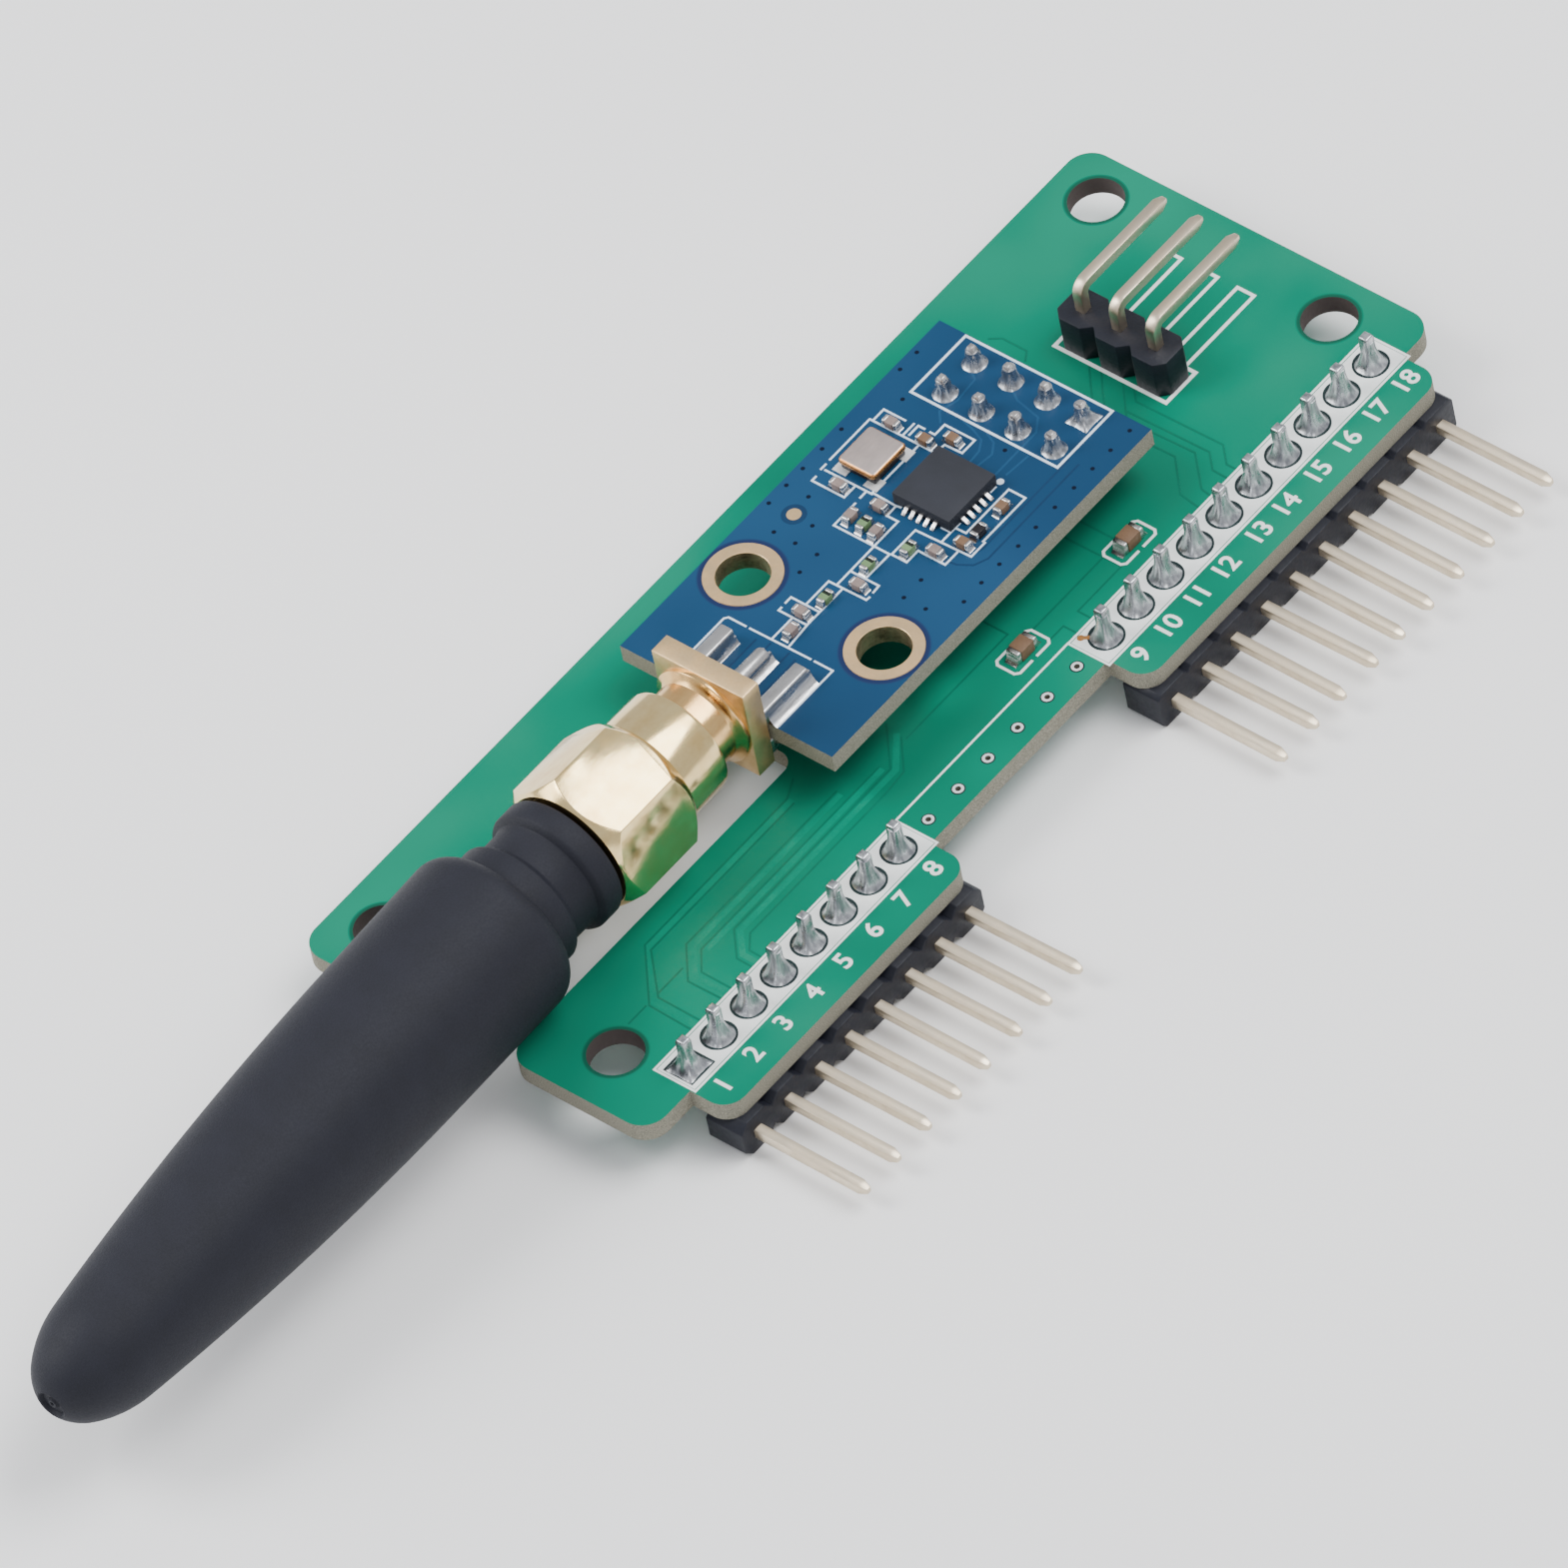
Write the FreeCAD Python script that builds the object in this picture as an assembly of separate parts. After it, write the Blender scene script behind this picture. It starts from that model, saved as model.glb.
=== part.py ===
import FreeCAD, Part
import math
import os

# A radio board on a green breakout carrier, with an edge socket and a stub antenna.
# Millimetres. The origin is the centre of the four mounting holes, on the carrier's underside.
# +Y runs along the board away from the antenna, +X towards the two rows of bent pins, +Z up.

V = FreeCAD.Vector
X_AXIS, Y_AXIS, Z_AXIS = V(1, 0, 0), V(0, 1, 0), V(0, 0, 1)
CYCLE = V(1, 1, 1)

# Pins and their plastic
pitch = 2.54
pin_w = 0.64
pin_point_w = 0.30
pin_point_len = 0.60
pin_bend_r = 0.35
pin_bend_steps = 2
pin_fit = 0.02
pin_hole_r = 0.50
drill_sides = 8
row_w = 2.54
cell_chamfer = 0.55
straight_chamfer = 0.28

# Solder round the pins
solder_r = 0.90
solder_waist_r = 0.58
solder_top_r = 0.42
solder_waist_share = 0.35
solder_sides = 8
tall_solder_h = 1.90
tall_pin_out = 2.32
short_solder_h = 1.10
short_pin_out = 1.40
under_solder_h = 0.90
under_pin_out = 1.50

# Carrier board
hole_spacing_x = 16.31
hole_spacing_y = 61.10
hole_r = 1.60
carrier_t = 1.20
carrier_left = 11.23
carrier_right = 13.27
carrier_near = 34.00
carrier_far = 33.36
carrier_corner_r = 1.50
tab_out = 2.73
tab_margin = 1.30
tab_corner_r = 1.30
slot_under_module = 1.05
slot_corner_r = 1.00
slot_mouth_r = 1.50
slot_clear = 0.10

# The row of pins down the carrier's right edge: eight pins, six vias, ten pins
pin_row_inset = 1.155
pin_1_inset = 4.80
first_row_count = 8
via_count = 6
second_row_count = 10
via_r = 0.20
row_body_gap = 1.85
row_reach = 12.10

# Serial header, its three pins bent over towards the far edge
serial_count = 3
serial_x = 0.485
serial_from_module = 5.57
serial_pin_rise = 1.80
serial_pin_reach = 7.42

# Ceramic capacitors on the carrier
carrier_cap = (0.88, 1.65, 0.78)
carrier_cap_end = 0.34
carrier_cap_x = 8.98
carrier_cap_ys = (3.06, 12.21)

# Blue module board
spacer_h = 2.54
module_t = 1.20
module_w = 14.80
module_len = 27.35
module_near_y = -10.45
module_header_inset = 2.65
module_columns = 4
module_rows = 2
module_hole_edge = 2.47
module_hole_inset = 7.48
module_hole_r = 1.62
plating_bore_r = 1.53
plating_pad_r = 2.25
plating_t = 0.04
plating_sides = 20

# Parts on the module: X from its middle line, and a share of its length from the near edge
seat = 0.02
chip_w = 4.00
chip_h = 0.85
chip_x = 0.80
chip_share = 0.651
lead_count = 5
lead_pitch = 0.50
lead_w = 0.26
lead_out = 0.45
lead_h = 0.22
crystal_w = 2.60
crystal_len = 2.86
crystal_base_h = 0.50
crystal_lid_h = 0.30
crystal_base_inset = 0.12
crystal_corner_r = 0.25
crystal_edge = 3.38
crystal_share = 0.642
crystal_pad = (0.95, 0.85)
crystal_pad_out = 0.38
pad_t = 0.05
chip_part = (1.00, 0.52, 0.50)
chip_part_end = 0.24
capacitor_places = (
    (-4.78, 0.733, "x"), (-2.46, 0.734, "x"), (-1.20, 0.765, "x"), (-4.42, 0.551, "x"), (-1.56, 0.551, "x"),
    (-2.46, 0.501, "y"), (-0.54, 0.495, "y"), (3.06, 0.518, "x"), (3.98, 0.564, "x"), (4.16, 0.678, "y"),
    (1.04, 0.369, "x"), (-0.38, 0.254, "x"), (0.00, 0.206, "y"),
)
inductor_places = ((-1.44, 0.498, "y"), (1.72, 0.495, "y"), (0.60, 0.420, "y"), (0.10, 0.308, "y"))
resistor_places = ((4.18, 0.605, "y"),)

# Antenna socket on the module's near edge
flange_w = 6.40
flange_t = 1.35
flange_corner_r = 0.25
flange_gap = 0.25
boss_r = 3.15
boss_len = 0.30
neck_r = 2.62
thread_r = 3.10
thread_fit = 0.05
thread_from_flange = 3.30
barrel_len = 7.60
socket_r = 2.32
socket_depth = 1.95
insulator_r = 2.05
tail_r = 0.50
tail_film = 0.06
tail_len = 3.70
contact_r = 0.63
contact_bore_r = 0.47
contact_bore_len = 2.20
leg_w = 0.90
leg_h = 1.10
leg_len = 3.80
leg_x = 2.58
fit = 0.02
leg_solder_w = 0.55
leg_solder_h = 0.70
tail_solder_w = 0.45
tail_solder_h = 0.50

# Coupling nut
nut_standoff = 2.15
nut_len = 9.35
nut_af = 8.00
nut_turn = 41.0
nut_chamfer_run = 1.15
nut_front_face_r = 3.70
nut_back_face_r = 3.85
collar_r = 3.40
collar_len = 3.15
collar_edge = 0.20
nut_web = 1.95
snap_ring_from_back = 0.95
snap_ring_t = 0.45
snap_ring_r = 2.98
snap_ring_bite = 0.30
snap_ring_gap_w = 1.20

# Plug inside the nut and the sleeve
plug_r = 2.60
plug_flange_r = 3.00
plug_flange_t = 1.00
plug_sleeve_r = 2.28
gasket_t = 0.55
plug_pin_r = 0.45
plug_pin_out = 1.90
feed_disc_t = 0.40

# Rubber sleeve: a ringed neck in line with the nut, then a body that droops a little
sleeve_gap = 0.25
ring_r = 3.95
ring_len = 1.50
ring_edge = 0.25
waist_r = 3.45
waist_len = 1.55
cuff_r = 3.92
neck_len = 5.65
neck_taper = 0.40
sleeve_r = 5.17
sleeve_len = 38.15
shoulder_r = 1.20
flank_len = 9.15
flank_r = 5.10
nose_len = 4.45
nose_r = 3.49
brow_len = 1.35
brow_r = 2.36
rim_len = 0.12
sleeve_steps = (2, 5, 2, 2)
sleeve_sides = 40
droop_deg = 2.25
sleeve_wall = 2.20
dimple_r = 0.92
dimple_depth = 0.25
nib_r = 0.25
nib_h = 0.15

# Radiating coil inside the sleeve
coil_turns = 9
coil_pitch = 2.60
coil_wire = 0.50
coil_sides = 12
coil_clear = 0.15

# Levels and places that follow from the sizes
carrier_top = carrier_t
module_bottom = carrier_top + spacer_h
module_top = module_bottom + module_t
pin_row_x = carrier_right - pin_row_inset
pin_1_y = pin_1_inset - carrier_near
pin_9_y = pin_1_y + (first_row_count + via_count) * pitch
row_axis_z = -row_w / 2
module_far_y = module_near_y + module_len
module_header_y = module_far_y - module_header_inset
module_header_x0 = -(module_columns - 1) / 2 * pitch
module_header_y0 = module_header_y - (module_rows - 1) / 2 * pitch
module_hole_x = module_w / 2 - module_hole_edge
module_hole_y = module_near_y + module_hole_inset
chip_y = module_near_y + chip_share * module_len
crystal_x = crystal_edge - module_w / 2
crystal_y = module_near_y + crystal_share * module_len
serial_y = module_far_y + serial_from_module
serial_x0 = serial_x - (serial_count - 1) / 2 * pitch

# Stations along the socket's axis, from the module towards the antenna's tip
rf_z = module_top + tail_r + tail_film
flange_back = module_near_y - flange_gap
flange_front = flange_back - flange_t
thread_start = flange_front - thread_from_flange
barrel_end = flange_front - barrel_len
nut_front = flange_front - nut_standoff
collar_back = nut_front - collar_len
nut_back = nut_front - nut_len
mating_plane = barrel_end + socket_depth
gasket_back = barrel_end - gasket_t
nut_web_front = nut_back + nut_web
snap_ring_y = nut_back + snap_ring_from_back
sleeve_start = nut_back - sleeve_gap
seam = nut_back - neck_len
slot_end = module_near_y + slot_under_module
cavity_r = sleeve_r - sleeve_wall
coil_r = cavity_r - coil_clear - coil_wire / 2
coil_len = coil_turns * coil_pitch


def rounded_outline(corners, steps=0):
    """A closed wire through (x, y, radius) corners, rounded by arcs, or by chords where steps are given."""
    arrive, leave, arcs = [], [], []
    for i, (x, y, r) in enumerate(corners):
        here = V(x, y, 0)
        back = V(*corners[i - 1][:2], 0) - here
        ahead = V(*corners[(i + 1) % len(corners)][:2], 0) - here
        if r == 0:
            arrive.append(here)
            leave.append(here)
            continue
        half = back.getAngle(ahead) / 2
        run = r / math.tan(half)
        back.normalize()
        ahead.normalize()
        middle = here + (back + ahead).normalize() * (r / math.sin(half) - r)
        arrive.append(here + back * run)
        leave.append(here + ahead * run)
        arc = Part.Arc(arrive[-1], middle, leave[-1]).toShape()
        arcs += Part.makePolygon(arc.discretize(steps + 1)).Edges if steps else [arc]
    sides = [Part.makeLine(leave[i - 1], arrive[i]) for i in range(len(corners))]
    return Part.Wire(Part.__sortEdges__(sides + arcs))


def plate(corners, thickness, z=0.0):
    """A flat plate of a rounded outline, its underside at z."""
    solid = Part.Face(rounded_outline(corners)).extrude(V(0, 0, thickness))
    solid.translate(V(0, 0, z))
    return solid


def rectangle(x0, y0, x1, y1, r=0.0):
    """The four corners of a rectangle, all with one radius."""
    return [(x0, y0, r), (x1, y0, r), (x1, y1, r), (x0, y1, r)]


def block(x, y, z0, width, depth, height):
    """A box centred on x and y that stands on z0."""
    return Part.makeBox(width, depth, height, V(x - width / 2, y - depth / 2, z0))


def hole(x, y, r, z0, z1):
    """An upright drill from z0 to z1."""
    return Part.makeCylinder(r, z1 - z0, V(x, y, z0))


def small_hole(x, y, r, z0, z1):
    """A pin hole or a via, with few sides because there are many."""
    drill = faceted([(z0, r), (z1, r)], drill_sides)
    drill.translate(V(x, y, 0))
    return drill


def faceted(levels, sides):
    """A solid with flat sides about Z, through (z, radius) levels."""
    angles = [math.pi * (2 * n + 1) / sides for n in range(sides)]
    rings = [[V(r * math.cos(a), r * math.sin(a), z) for a in angles] for z, r in levels]
    outlines = [rings[0], rings[-1]]
    for low, high in zip(rings, rings[1:]):
        outlines += [[low[i - 1], low[i], high[i], high[i - 1]] for i in range(sides)]
    shell = Part.Shell([Part.Face(Part.makePolygon(points + points[:1])) for points in outlines])
    shell.sewShape()
    solid = Part.Solid(shell)
    if solid.Volume < 0:
        solid.reverse()
    return solid


def square_bar(levels):
    """A square bar up Z, through (z, width) levels."""
    return faceted([(z, w / math.sqrt(2)) for z, w in levels], 4)


def turned(stations):
    """A solid of revolution about Y from (y, radius) stations."""
    points = [V(0, y, r) for y, r in stations]
    face = Part.Face(Part.makePolygon(points + points[:1]))
    return face.revolve(V(0, 0, 0), Y_AXIS, 360)


def turned_flat(stations, sides):
    """Flat-sided bands about Y, through (y, radius) stations, both ends closed."""
    solid = faceted(stations, sides)
    solid.rotate(V(0, 0, 0), X_AXIS, -90)
    return solid


def rod(y0, y1, r):
    """A round bar about Y."""
    return Part.makeCylinder(r, abs(y1 - y0), V(0, min(y0, y1), 0), Y_AXIS)


def on_socket_axis(shape):
    """Lifts a shape made about Y onto the socket's axis."""
    shape.translate(V(0, 0, rf_z))
    return shape


def drooped(shape):
    """Turns a shape made about Y down by the sleeve's droop, at the seam."""
    shape.rotate(V(0, seam, 0), X_AXIS, droop_deg)
    return shape


def straight_pin(length):
    """A square pin along Z from 0, tapered at both ends."""
    shank = (pin_point_len, length - pin_point_len)
    return square_bar([(0, pin_point_w), (shank[0], pin_w), (shank[1], pin_w), (length, pin_point_w)])


def bent_pin(rise, reach):
    """A square pin: one leg up Z from its bend at the origin, the other out along X, both tapered."""
    half = pin_w / 2
    up, out = rise - pin_point_len, reach - pin_point_len
    bend = [(half, up, 0), (half, half, pin_bend_r), (out, half, 0), (out, -half, 0),
            (-half, -half, pin_bend_r + pin_w), (-half, up, 0)]
    legs = Part.Face(rounded_outline(bend, pin_bend_steps)).extrude(V(0, 0, pin_w))
    legs.rotate(V(0, 0, 0), X_AXIS, 90)
    legs.translate(V(0, half, 0))
    top = square_bar([(up, pin_w), (rise, pin_point_w)])
    tip = square_bar([(out, pin_w), (reach, pin_point_w)])
    tip.rotate(V(0, 0, 0), Y_AXIS, 90)
    return legs.fuse([top, tip]).removeSplitter()


def header_plastic(count, rows, chamfer):
    """A header's plastic: cells along X from the first pin, rows along Y, its pin holes up Z."""
    low, high = -row_w / 2, (rows - 1) * pitch + row_w / 2
    top = [(-pitch / 2, high - chamfer)]
    for n in range(count):
        left, right = (n - 0.5) * pitch, (n + 0.5) * pitch
        top += [(left + chamfer, high), (right - chamfer, high), (right, high - chamfer)]
    bottom = [(x, low + high - y) for x, y in reversed(top)]
    points = [V(x, y, 0) for x, y in top + bottom]
    body = Part.Face(Part.makePolygon(points + points[:1])).extrude(V(0, 0, row_w))
    slot_w = pin_w + 2 * pin_fit
    slots = [block(n * pitch, m * pitch, 0, slot_w, slot_w, row_w) for n in range(count) for m in range(rows)]
    return body.cut(slots)


def solder_cone(height, upward=True):
    """Solder drawn up round a square pin, standing on z = 0."""
    levels = [(0, solder_r), (height * solder_waist_share, solder_waist_r), (height, solder_top_r)]
    cone = faceted(levels, solder_sides).cut(block(0, 0, 0, pin_w, pin_w, height))
    if not upward:
        cone.rotate(V(0, 0, 0), X_AXIS, 180)
    return cone


def copies(shape, places):
    """The same shape at each place, as one group of separate solids."""
    group = []
    for x, y, z in places:
        copy = shape.copy()
        copy.translate(V(x, y, z))
        group.append(copy)
    return Part.makeCompound(group)


def row_places(first_y, count, z):
    return [(pin_row_x, first_y + n * pitch, z) for n in range(count)]


def serial_places(z):
    return [(serial_x0 + n * pitch, serial_y, z) for n in range(serial_count)]


def module_pin_places(z):
    return [(module_header_x0 + n * pitch, module_header_y0 + m * pitch, z)
            for m in range(module_rows) for n in range(module_columns)]


def module_hole_places(z):
    return [(-module_hole_x, module_hole_y, z), (module_hole_x, module_hole_y, z)]


def slot_half_width():
    """Half the slot's width: the sleeve passes the carrier's top edge with a clearance."""
    drop = (seam + carrier_near) * math.tan(math.radians(droop_deg))
    height = rf_z - drop - carrier_top
    return math.sqrt((sleeve_r + slot_clear) ** 2 - height ** 2)


def carrier_corners():
    """The carrier's outline, from the near left corner round to the far left one."""
    slot = slot_half_width()
    tabs = [(pin_1_y, first_row_count), (pin_9_y, second_row_count)]
    corners = [
        (-carrier_left, -carrier_near, carrier_corner_r), (-slot, -carrier_near, slot_mouth_r),
        (-slot, slot_end, slot_corner_r), (slot, slot_end, slot_corner_r),
        (slot, -carrier_near, slot_mouth_r), (carrier_right, -carrier_near, carrier_corner_r),
    ]
    for first_y, count in tabs:
        low, high = first_y - tab_margin, first_y + (count - 1) * pitch + tab_margin
        outer = carrier_right + tab_out
        corners += [(carrier_right, low, 0), (outer, low, tab_corner_r),
                    (outer, high, tab_corner_r), (carrier_right, high, 0)]
    corners.append((carrier_right, carrier_far, carrier_corner_r))
    corners.append((-carrier_left, carrier_far, carrier_corner_r))
    return corners


def carrier_board():
    board = plate(carrier_corners(), carrier_t)
    mounting = [hole(sx * hole_spacing_x / 2, sy * hole_spacing_y / 2, hole_r, 0, carrier_t)
                for sx in (-1, 1) for sy in (-1, 1)]
    pins = row_places(pin_1_y, first_row_count, 0) + row_places(pin_9_y, second_row_count, 0)
    pins += serial_places(0) + module_pin_places(0)
    vias = row_places(pin_1_y + first_row_count * pitch, via_count, 0)
    drilled = [small_hole(x, y, pin_hole_r, 0, carrier_t) for x, y, z in pins]
    drilled += [small_hole(x, y, via_r, 0, carrier_t) for x, y, z in vias]
    return board.cut(mounting + drilled)


def row_header_body(first_y, count, chamfer):
    """Plastic of a right-angle row, lying under its tab with the pins along X."""
    body = header_plastic(count, 1, chamfer)
    body.rotate(V(0, 0, 0), CYCLE, 120)
    body.translate(V(pin_row_x + row_body_gap, first_y, row_axis_z))
    return body


def row_header_pins(first_y, count):
    pin = bent_pin(carrier_top + tall_pin_out - row_axis_z, row_reach)
    return copies(pin, row_places(first_y, count, row_axis_z))


def row_header_solder(first_y, count):
    return copies(solder_cone(tall_solder_h), row_places(first_y, count, carrier_top))


def serial_header_body():
    body = header_plastic(serial_count, 1, cell_chamfer)
    body.translate(V(serial_x0, serial_y, carrier_top))
    return body


def serial_header_pins():
    """Up through the carrier and the plastic, then over towards +Y."""
    level = carrier_top + row_w + serial_pin_rise
    pin = bent_pin(level + under_pin_out, serial_pin_reach)
    pin.rotate(V(0, 0, 0), X_AXIS, 180)
    pin.rotate(V(0, 0, 0), Z_AXIS, 90)
    return copies(pin, serial_places(level))


def serial_header_solder():
    return copies(solder_cone(under_solder_h, upward=False), serial_places(0))


def chip_part_body(size, end, along):
    """The middle of a two-ended part, between its end caps."""
    length, width, height = size
    body = block(0, 0, 0, length - 2 * end, width, height)
    if along == "y":
        body.rotate(V(0, 0, 0), Z_AXIS, 90)
    return body


def chip_part_ends(size, end, along):
    """The two end caps of a two-ended part."""
    length, width, height = size
    caps = [block(side * (length - end) / 2, 0, 0, end, width, height) for side in (-1, 1)]
    if along == "y":
        for cap in caps:
            cap.rotate(V(0, 0, 0), Z_AXIS, 90)
    return caps


def placed_parts(make, places, size, end, z):
    """Bodies or end caps of two-ended parts at their places."""
    group = []
    for x, y, along in places:
        made = make(size, end, along)
        for solid in made if isinstance(made, list) else [made]:
            solid.translate(V(x, y, z))
            group.append(solid)
    return Part.makeCompound(group)


def carrier_capacitor_group(make):
    width, length, height = carrier_cap
    places = [(carrier_cap_x, y, "y") for y in carrier_cap_ys]
    return placed_parts(make, places, (length, width, height), carrier_cap_end, carrier_top)


def module_board():
    half = module_w / 2
    board = plate(rectangle(-half, module_near_y, half, module_far_y), module_t, module_bottom)
    drills = [hole(x, y, module_hole_r, module_bottom, module_top) for x, y, z in module_hole_places(0)]
    drills += [small_hole(x, y, pin_hole_r, module_bottom, module_top) for x, y, z in module_pin_places(0)]
    return board.cut(drills)


def module_hole_plating():
    """Two plated eyelets: a thin barrel in the board and a pad ring on each face."""
    low, high = module_bottom - plating_t, module_top + plating_t
    spool = faceted([
        (low, plating_pad_r), (module_bottom, plating_pad_r), (module_bottom, module_hole_r),
        (module_top, module_hole_r), (module_top, plating_pad_r), (high, plating_pad_r),
    ], plating_sides)
    eyelet = spool.cut(faceted([(low, plating_bore_r), (high, plating_bore_r)], plating_sides))
    return copies(eyelet, module_hole_places(0))


def module_header_body():
    body = header_plastic(module_columns, module_rows, cell_chamfer)
    body.translate(V(module_header_x0, module_header_y0, carrier_top + (spacer_h - row_w) / 2))
    return body


def module_header_pins():
    pin = straight_pin(under_pin_out + module_top + short_pin_out)
    return copies(pin, module_pin_places(-under_pin_out))


def module_header_solder():
    return copies(solder_cone(short_solder_h), module_pin_places(module_top))


def carrier_header_solder():
    return copies(solder_cone(under_solder_h, upward=False), module_pin_places(0))


def transceiver_chip():
    return block(chip_x, chip_y, module_top + seat, chip_w, chip_w, chip_h)


def chip_leads():
    """Solder toes that slope down from the chip's sides, the same number on each side."""
    toe = [V(0, 0, 0), V(lead_out, 0, 0), V(0, 0, lead_h)]
    wedge = Part.Face(Part.makePolygon(toe + toe[:1])).extrude(V(0, lead_w, 0))
    wedge.translate(V(chip_w / 2, -lead_w / 2, 0))
    group = []
    for side in range(4):
        for n in range(lead_count):
            lead = wedge.copy()
            lead.translate(V(0, (n - (lead_count - 1) / 2) * lead_pitch, 0))
            lead.rotate(V(0, 0, 0), Z_AXIS, 90 * side)
            lead.translate(V(chip_x, chip_y, module_top))
            group.append(lead)
    return Part.makeCompound(group)


def crystal_plate(inset, height, z):
    half_w, half_l = crystal_w / 2 - inset, crystal_len / 2 - inset
    solid = plate(rectangle(-half_w, -half_l, half_w, half_l, crystal_corner_r), height, z)
    solid.translate(V(crystal_x, crystal_y, 0))
    return solid


def crystal_base():
    return crystal_plate(crystal_base_inset, crystal_base_h, module_top + pad_t)


def crystal_lid():
    return crystal_plate(0, crystal_lid_h, module_top + pad_t + crystal_base_h)


def crystal_pads():
    """Four solder pads that stand out past the corners of the crystal's base."""
    pad_w, pad_l = crystal_pad
    x_off = crystal_w / 2 - crystal_base_inset + crystal_pad_out - pad_w / 2
    y_off = crystal_len / 2 - crystal_base_inset + crystal_pad_out - pad_l / 2
    pads = [block(crystal_x + sx * x_off, crystal_y + sy * y_off, module_top, pad_w, pad_l, pad_t)
            for sx in (-1, 1) for sy in (-1, 1)]
    return Part.makeCompound(pads)


def on_module(places):
    """Places on the module, with the share of its length turned into Y."""
    return [(x, module_near_y + share * module_len, along) for x, share, along in places]


def small_part_ends():
    places = on_module(capacitor_places + inductor_places + resistor_places)
    return placed_parts(chip_part_ends, places, chip_part, chip_part_end, module_top)


def small_bodies(places):
    return placed_parts(chip_part_body, on_module(places), chip_part, chip_part_end, module_top)


def jack_legs():
    """Four legs behind the flange: two on the module's top face and two under it."""
    middle = flange_back + leg_len / 2
    legs = []
    for side in (-1, 1):
        for z in (module_top, module_bottom - leg_h):
            legs.append(block(side * leg_x, middle, z - rf_z, leg_w, leg_len, leg_h))
    return legs


def jack_body():
    """Flange, boss, undercut neck, threaded barrel and legs, bored for the insulator and the plug."""
    half = flange_w / 2
    flange = plate(rectangle(-half, -half, half, half, flange_corner_r), flange_t)
    flange.rotate(V(0, 0, 0), X_AXIS, 90)
    flange.translate(V(0, flange_back, 0))
    boss_front = flange_front - boss_len
    barrel = turned([
        (flange_back, 0), (flange_back, neck_r), (flange_front, boss_r), (boss_front, boss_r),
        (boss_front - boss_len, neck_r), (thread_start + thread_r - neck_r, neck_r), (thread_start, thread_r),
        (barrel_end + collar_edge, thread_r), (barrel_end, thread_r - collar_edge), (barrel_end, 0),
    ])
    body = flange.fuse([barrel] + jack_legs())
    socket = rod(barrel_end, mating_plane, socket_r)
    insulator_bore = rod(barrel_end, flange_back, insulator_r + fit)
    return on_socket_axis(body.cut([socket, insulator_bore]).removeSplitter())


def jack_insulator():
    tube = rod(mating_plane, flange_back, insulator_r).cut(rod(mating_plane, flange_back, contact_r + fit))
    return on_socket_axis(tube)


def jack_contact():
    """Female contact in the insulator, its tail lying over the module's edge."""
    pin = rod(mating_plane, flange_back, contact_r).fuse(rod(flange_back, flange_back + tail_len, tail_r))
    pin = pin.cut(rod(mating_plane, mating_plane + contact_bore_len, contact_bore_r))
    return on_socket_axis(pin.removeSplitter())


def solder_wedge(width, height, length):
    """A fillet of solder along Y, upright against x = 0."""
    corner = [V(0, 0, 0), V(width, 0, 0), V(0, 0, height)]
    return Part.Face(Part.makePolygon(corner + corner[:1])).extrude(V(0, length, 0))


def jack_solder():
    """Fillets along both sides of each leg, and a saddle that holds the tail."""
    start = module_near_y
    leg_run = flange_back + leg_len - start
    group = []
    for side in (-1, 1):
        for edge in (-1, 1):
            for upward in (True, False):
                wedge = solder_wedge(leg_solder_w, leg_solder_h, leg_run)
                if edge < 0:
                    wedge = wedge.mirror(V(0, 0, 0), X_AXIS)
                if not upward:
                    wedge = wedge.mirror(V(0, 0, 0), Z_AXIS)
                level = module_top if upward else module_bottom
                wedge.translate(V(side * leg_x + edge * leg_w / 2, start, level))
                group.append(wedge)
    tail_run = flange_back + tail_len - start
    saddle = block(0, start + tail_run / 2, 0, 2 * (tail_r + tail_solder_w), tail_run, tail_solder_h)
    saddle.translate(V(0, 0, module_top))
    group.append(saddle.cut(on_socket_axis(rod(flange_back, flange_back + tail_len, tail_r))))
    return Part.makeCompound(group)


def coupling_nut():
    """A turned hexagon with both ends chamfered and a round collar, bored for the barrel and the plug."""
    corner_r = nut_af / 2 / math.cos(math.radians(30))
    angles = [math.radians(nut_turn + 60 * n) for n in range(6)]
    points = [V(corner_r * math.cos(a), nut_back, corner_r * math.sin(a)) for a in angles]
    hexagon = Part.Face(Part.makePolygon(points + points[:1])).extrude(V(0, collar_back - nut_back, 0))
    front_run = (corner_r - nut_front_face_r) * nut_chamfer_run
    back_run = (corner_r - nut_back_face_r) * nut_chamfer_run
    chamfers = turned([
        (nut_back, 0), (nut_back, nut_back_face_r), (nut_back + back_run, corner_r),
        (collar_back - front_run, corner_r), (collar_back, nut_front_face_r), (collar_back, 0),
    ])
    collar = turned([
        (collar_back, 0), (collar_back, collar_r), (nut_front - collar_edge, collar_r),
        (nut_front, collar_r - collar_edge), (nut_front, 0),
    ])
    groove = rod(snap_ring_y - snap_ring_t / 2 - fit, snap_ring_y + snap_ring_t / 2 + fit, snap_ring_r + fit)
    thread_bore = rod(nut_web_front, nut_front, thread_r + thread_fit)
    plug_bore = rod(nut_back, nut_front, plug_r + thread_fit)
    nut = hexagon.common(chamfers).fuse(collar).cut([thread_bore, plug_bore, groove])
    return on_socket_axis(nut.removeSplitter())


def nut_gasket():
    ring = rod(gasket_back, barrel_end, plug_flange_r).cut(rod(gasket_back, barrel_end, plug_sleeve_r + fit))
    return on_socket_axis(ring)


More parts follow.
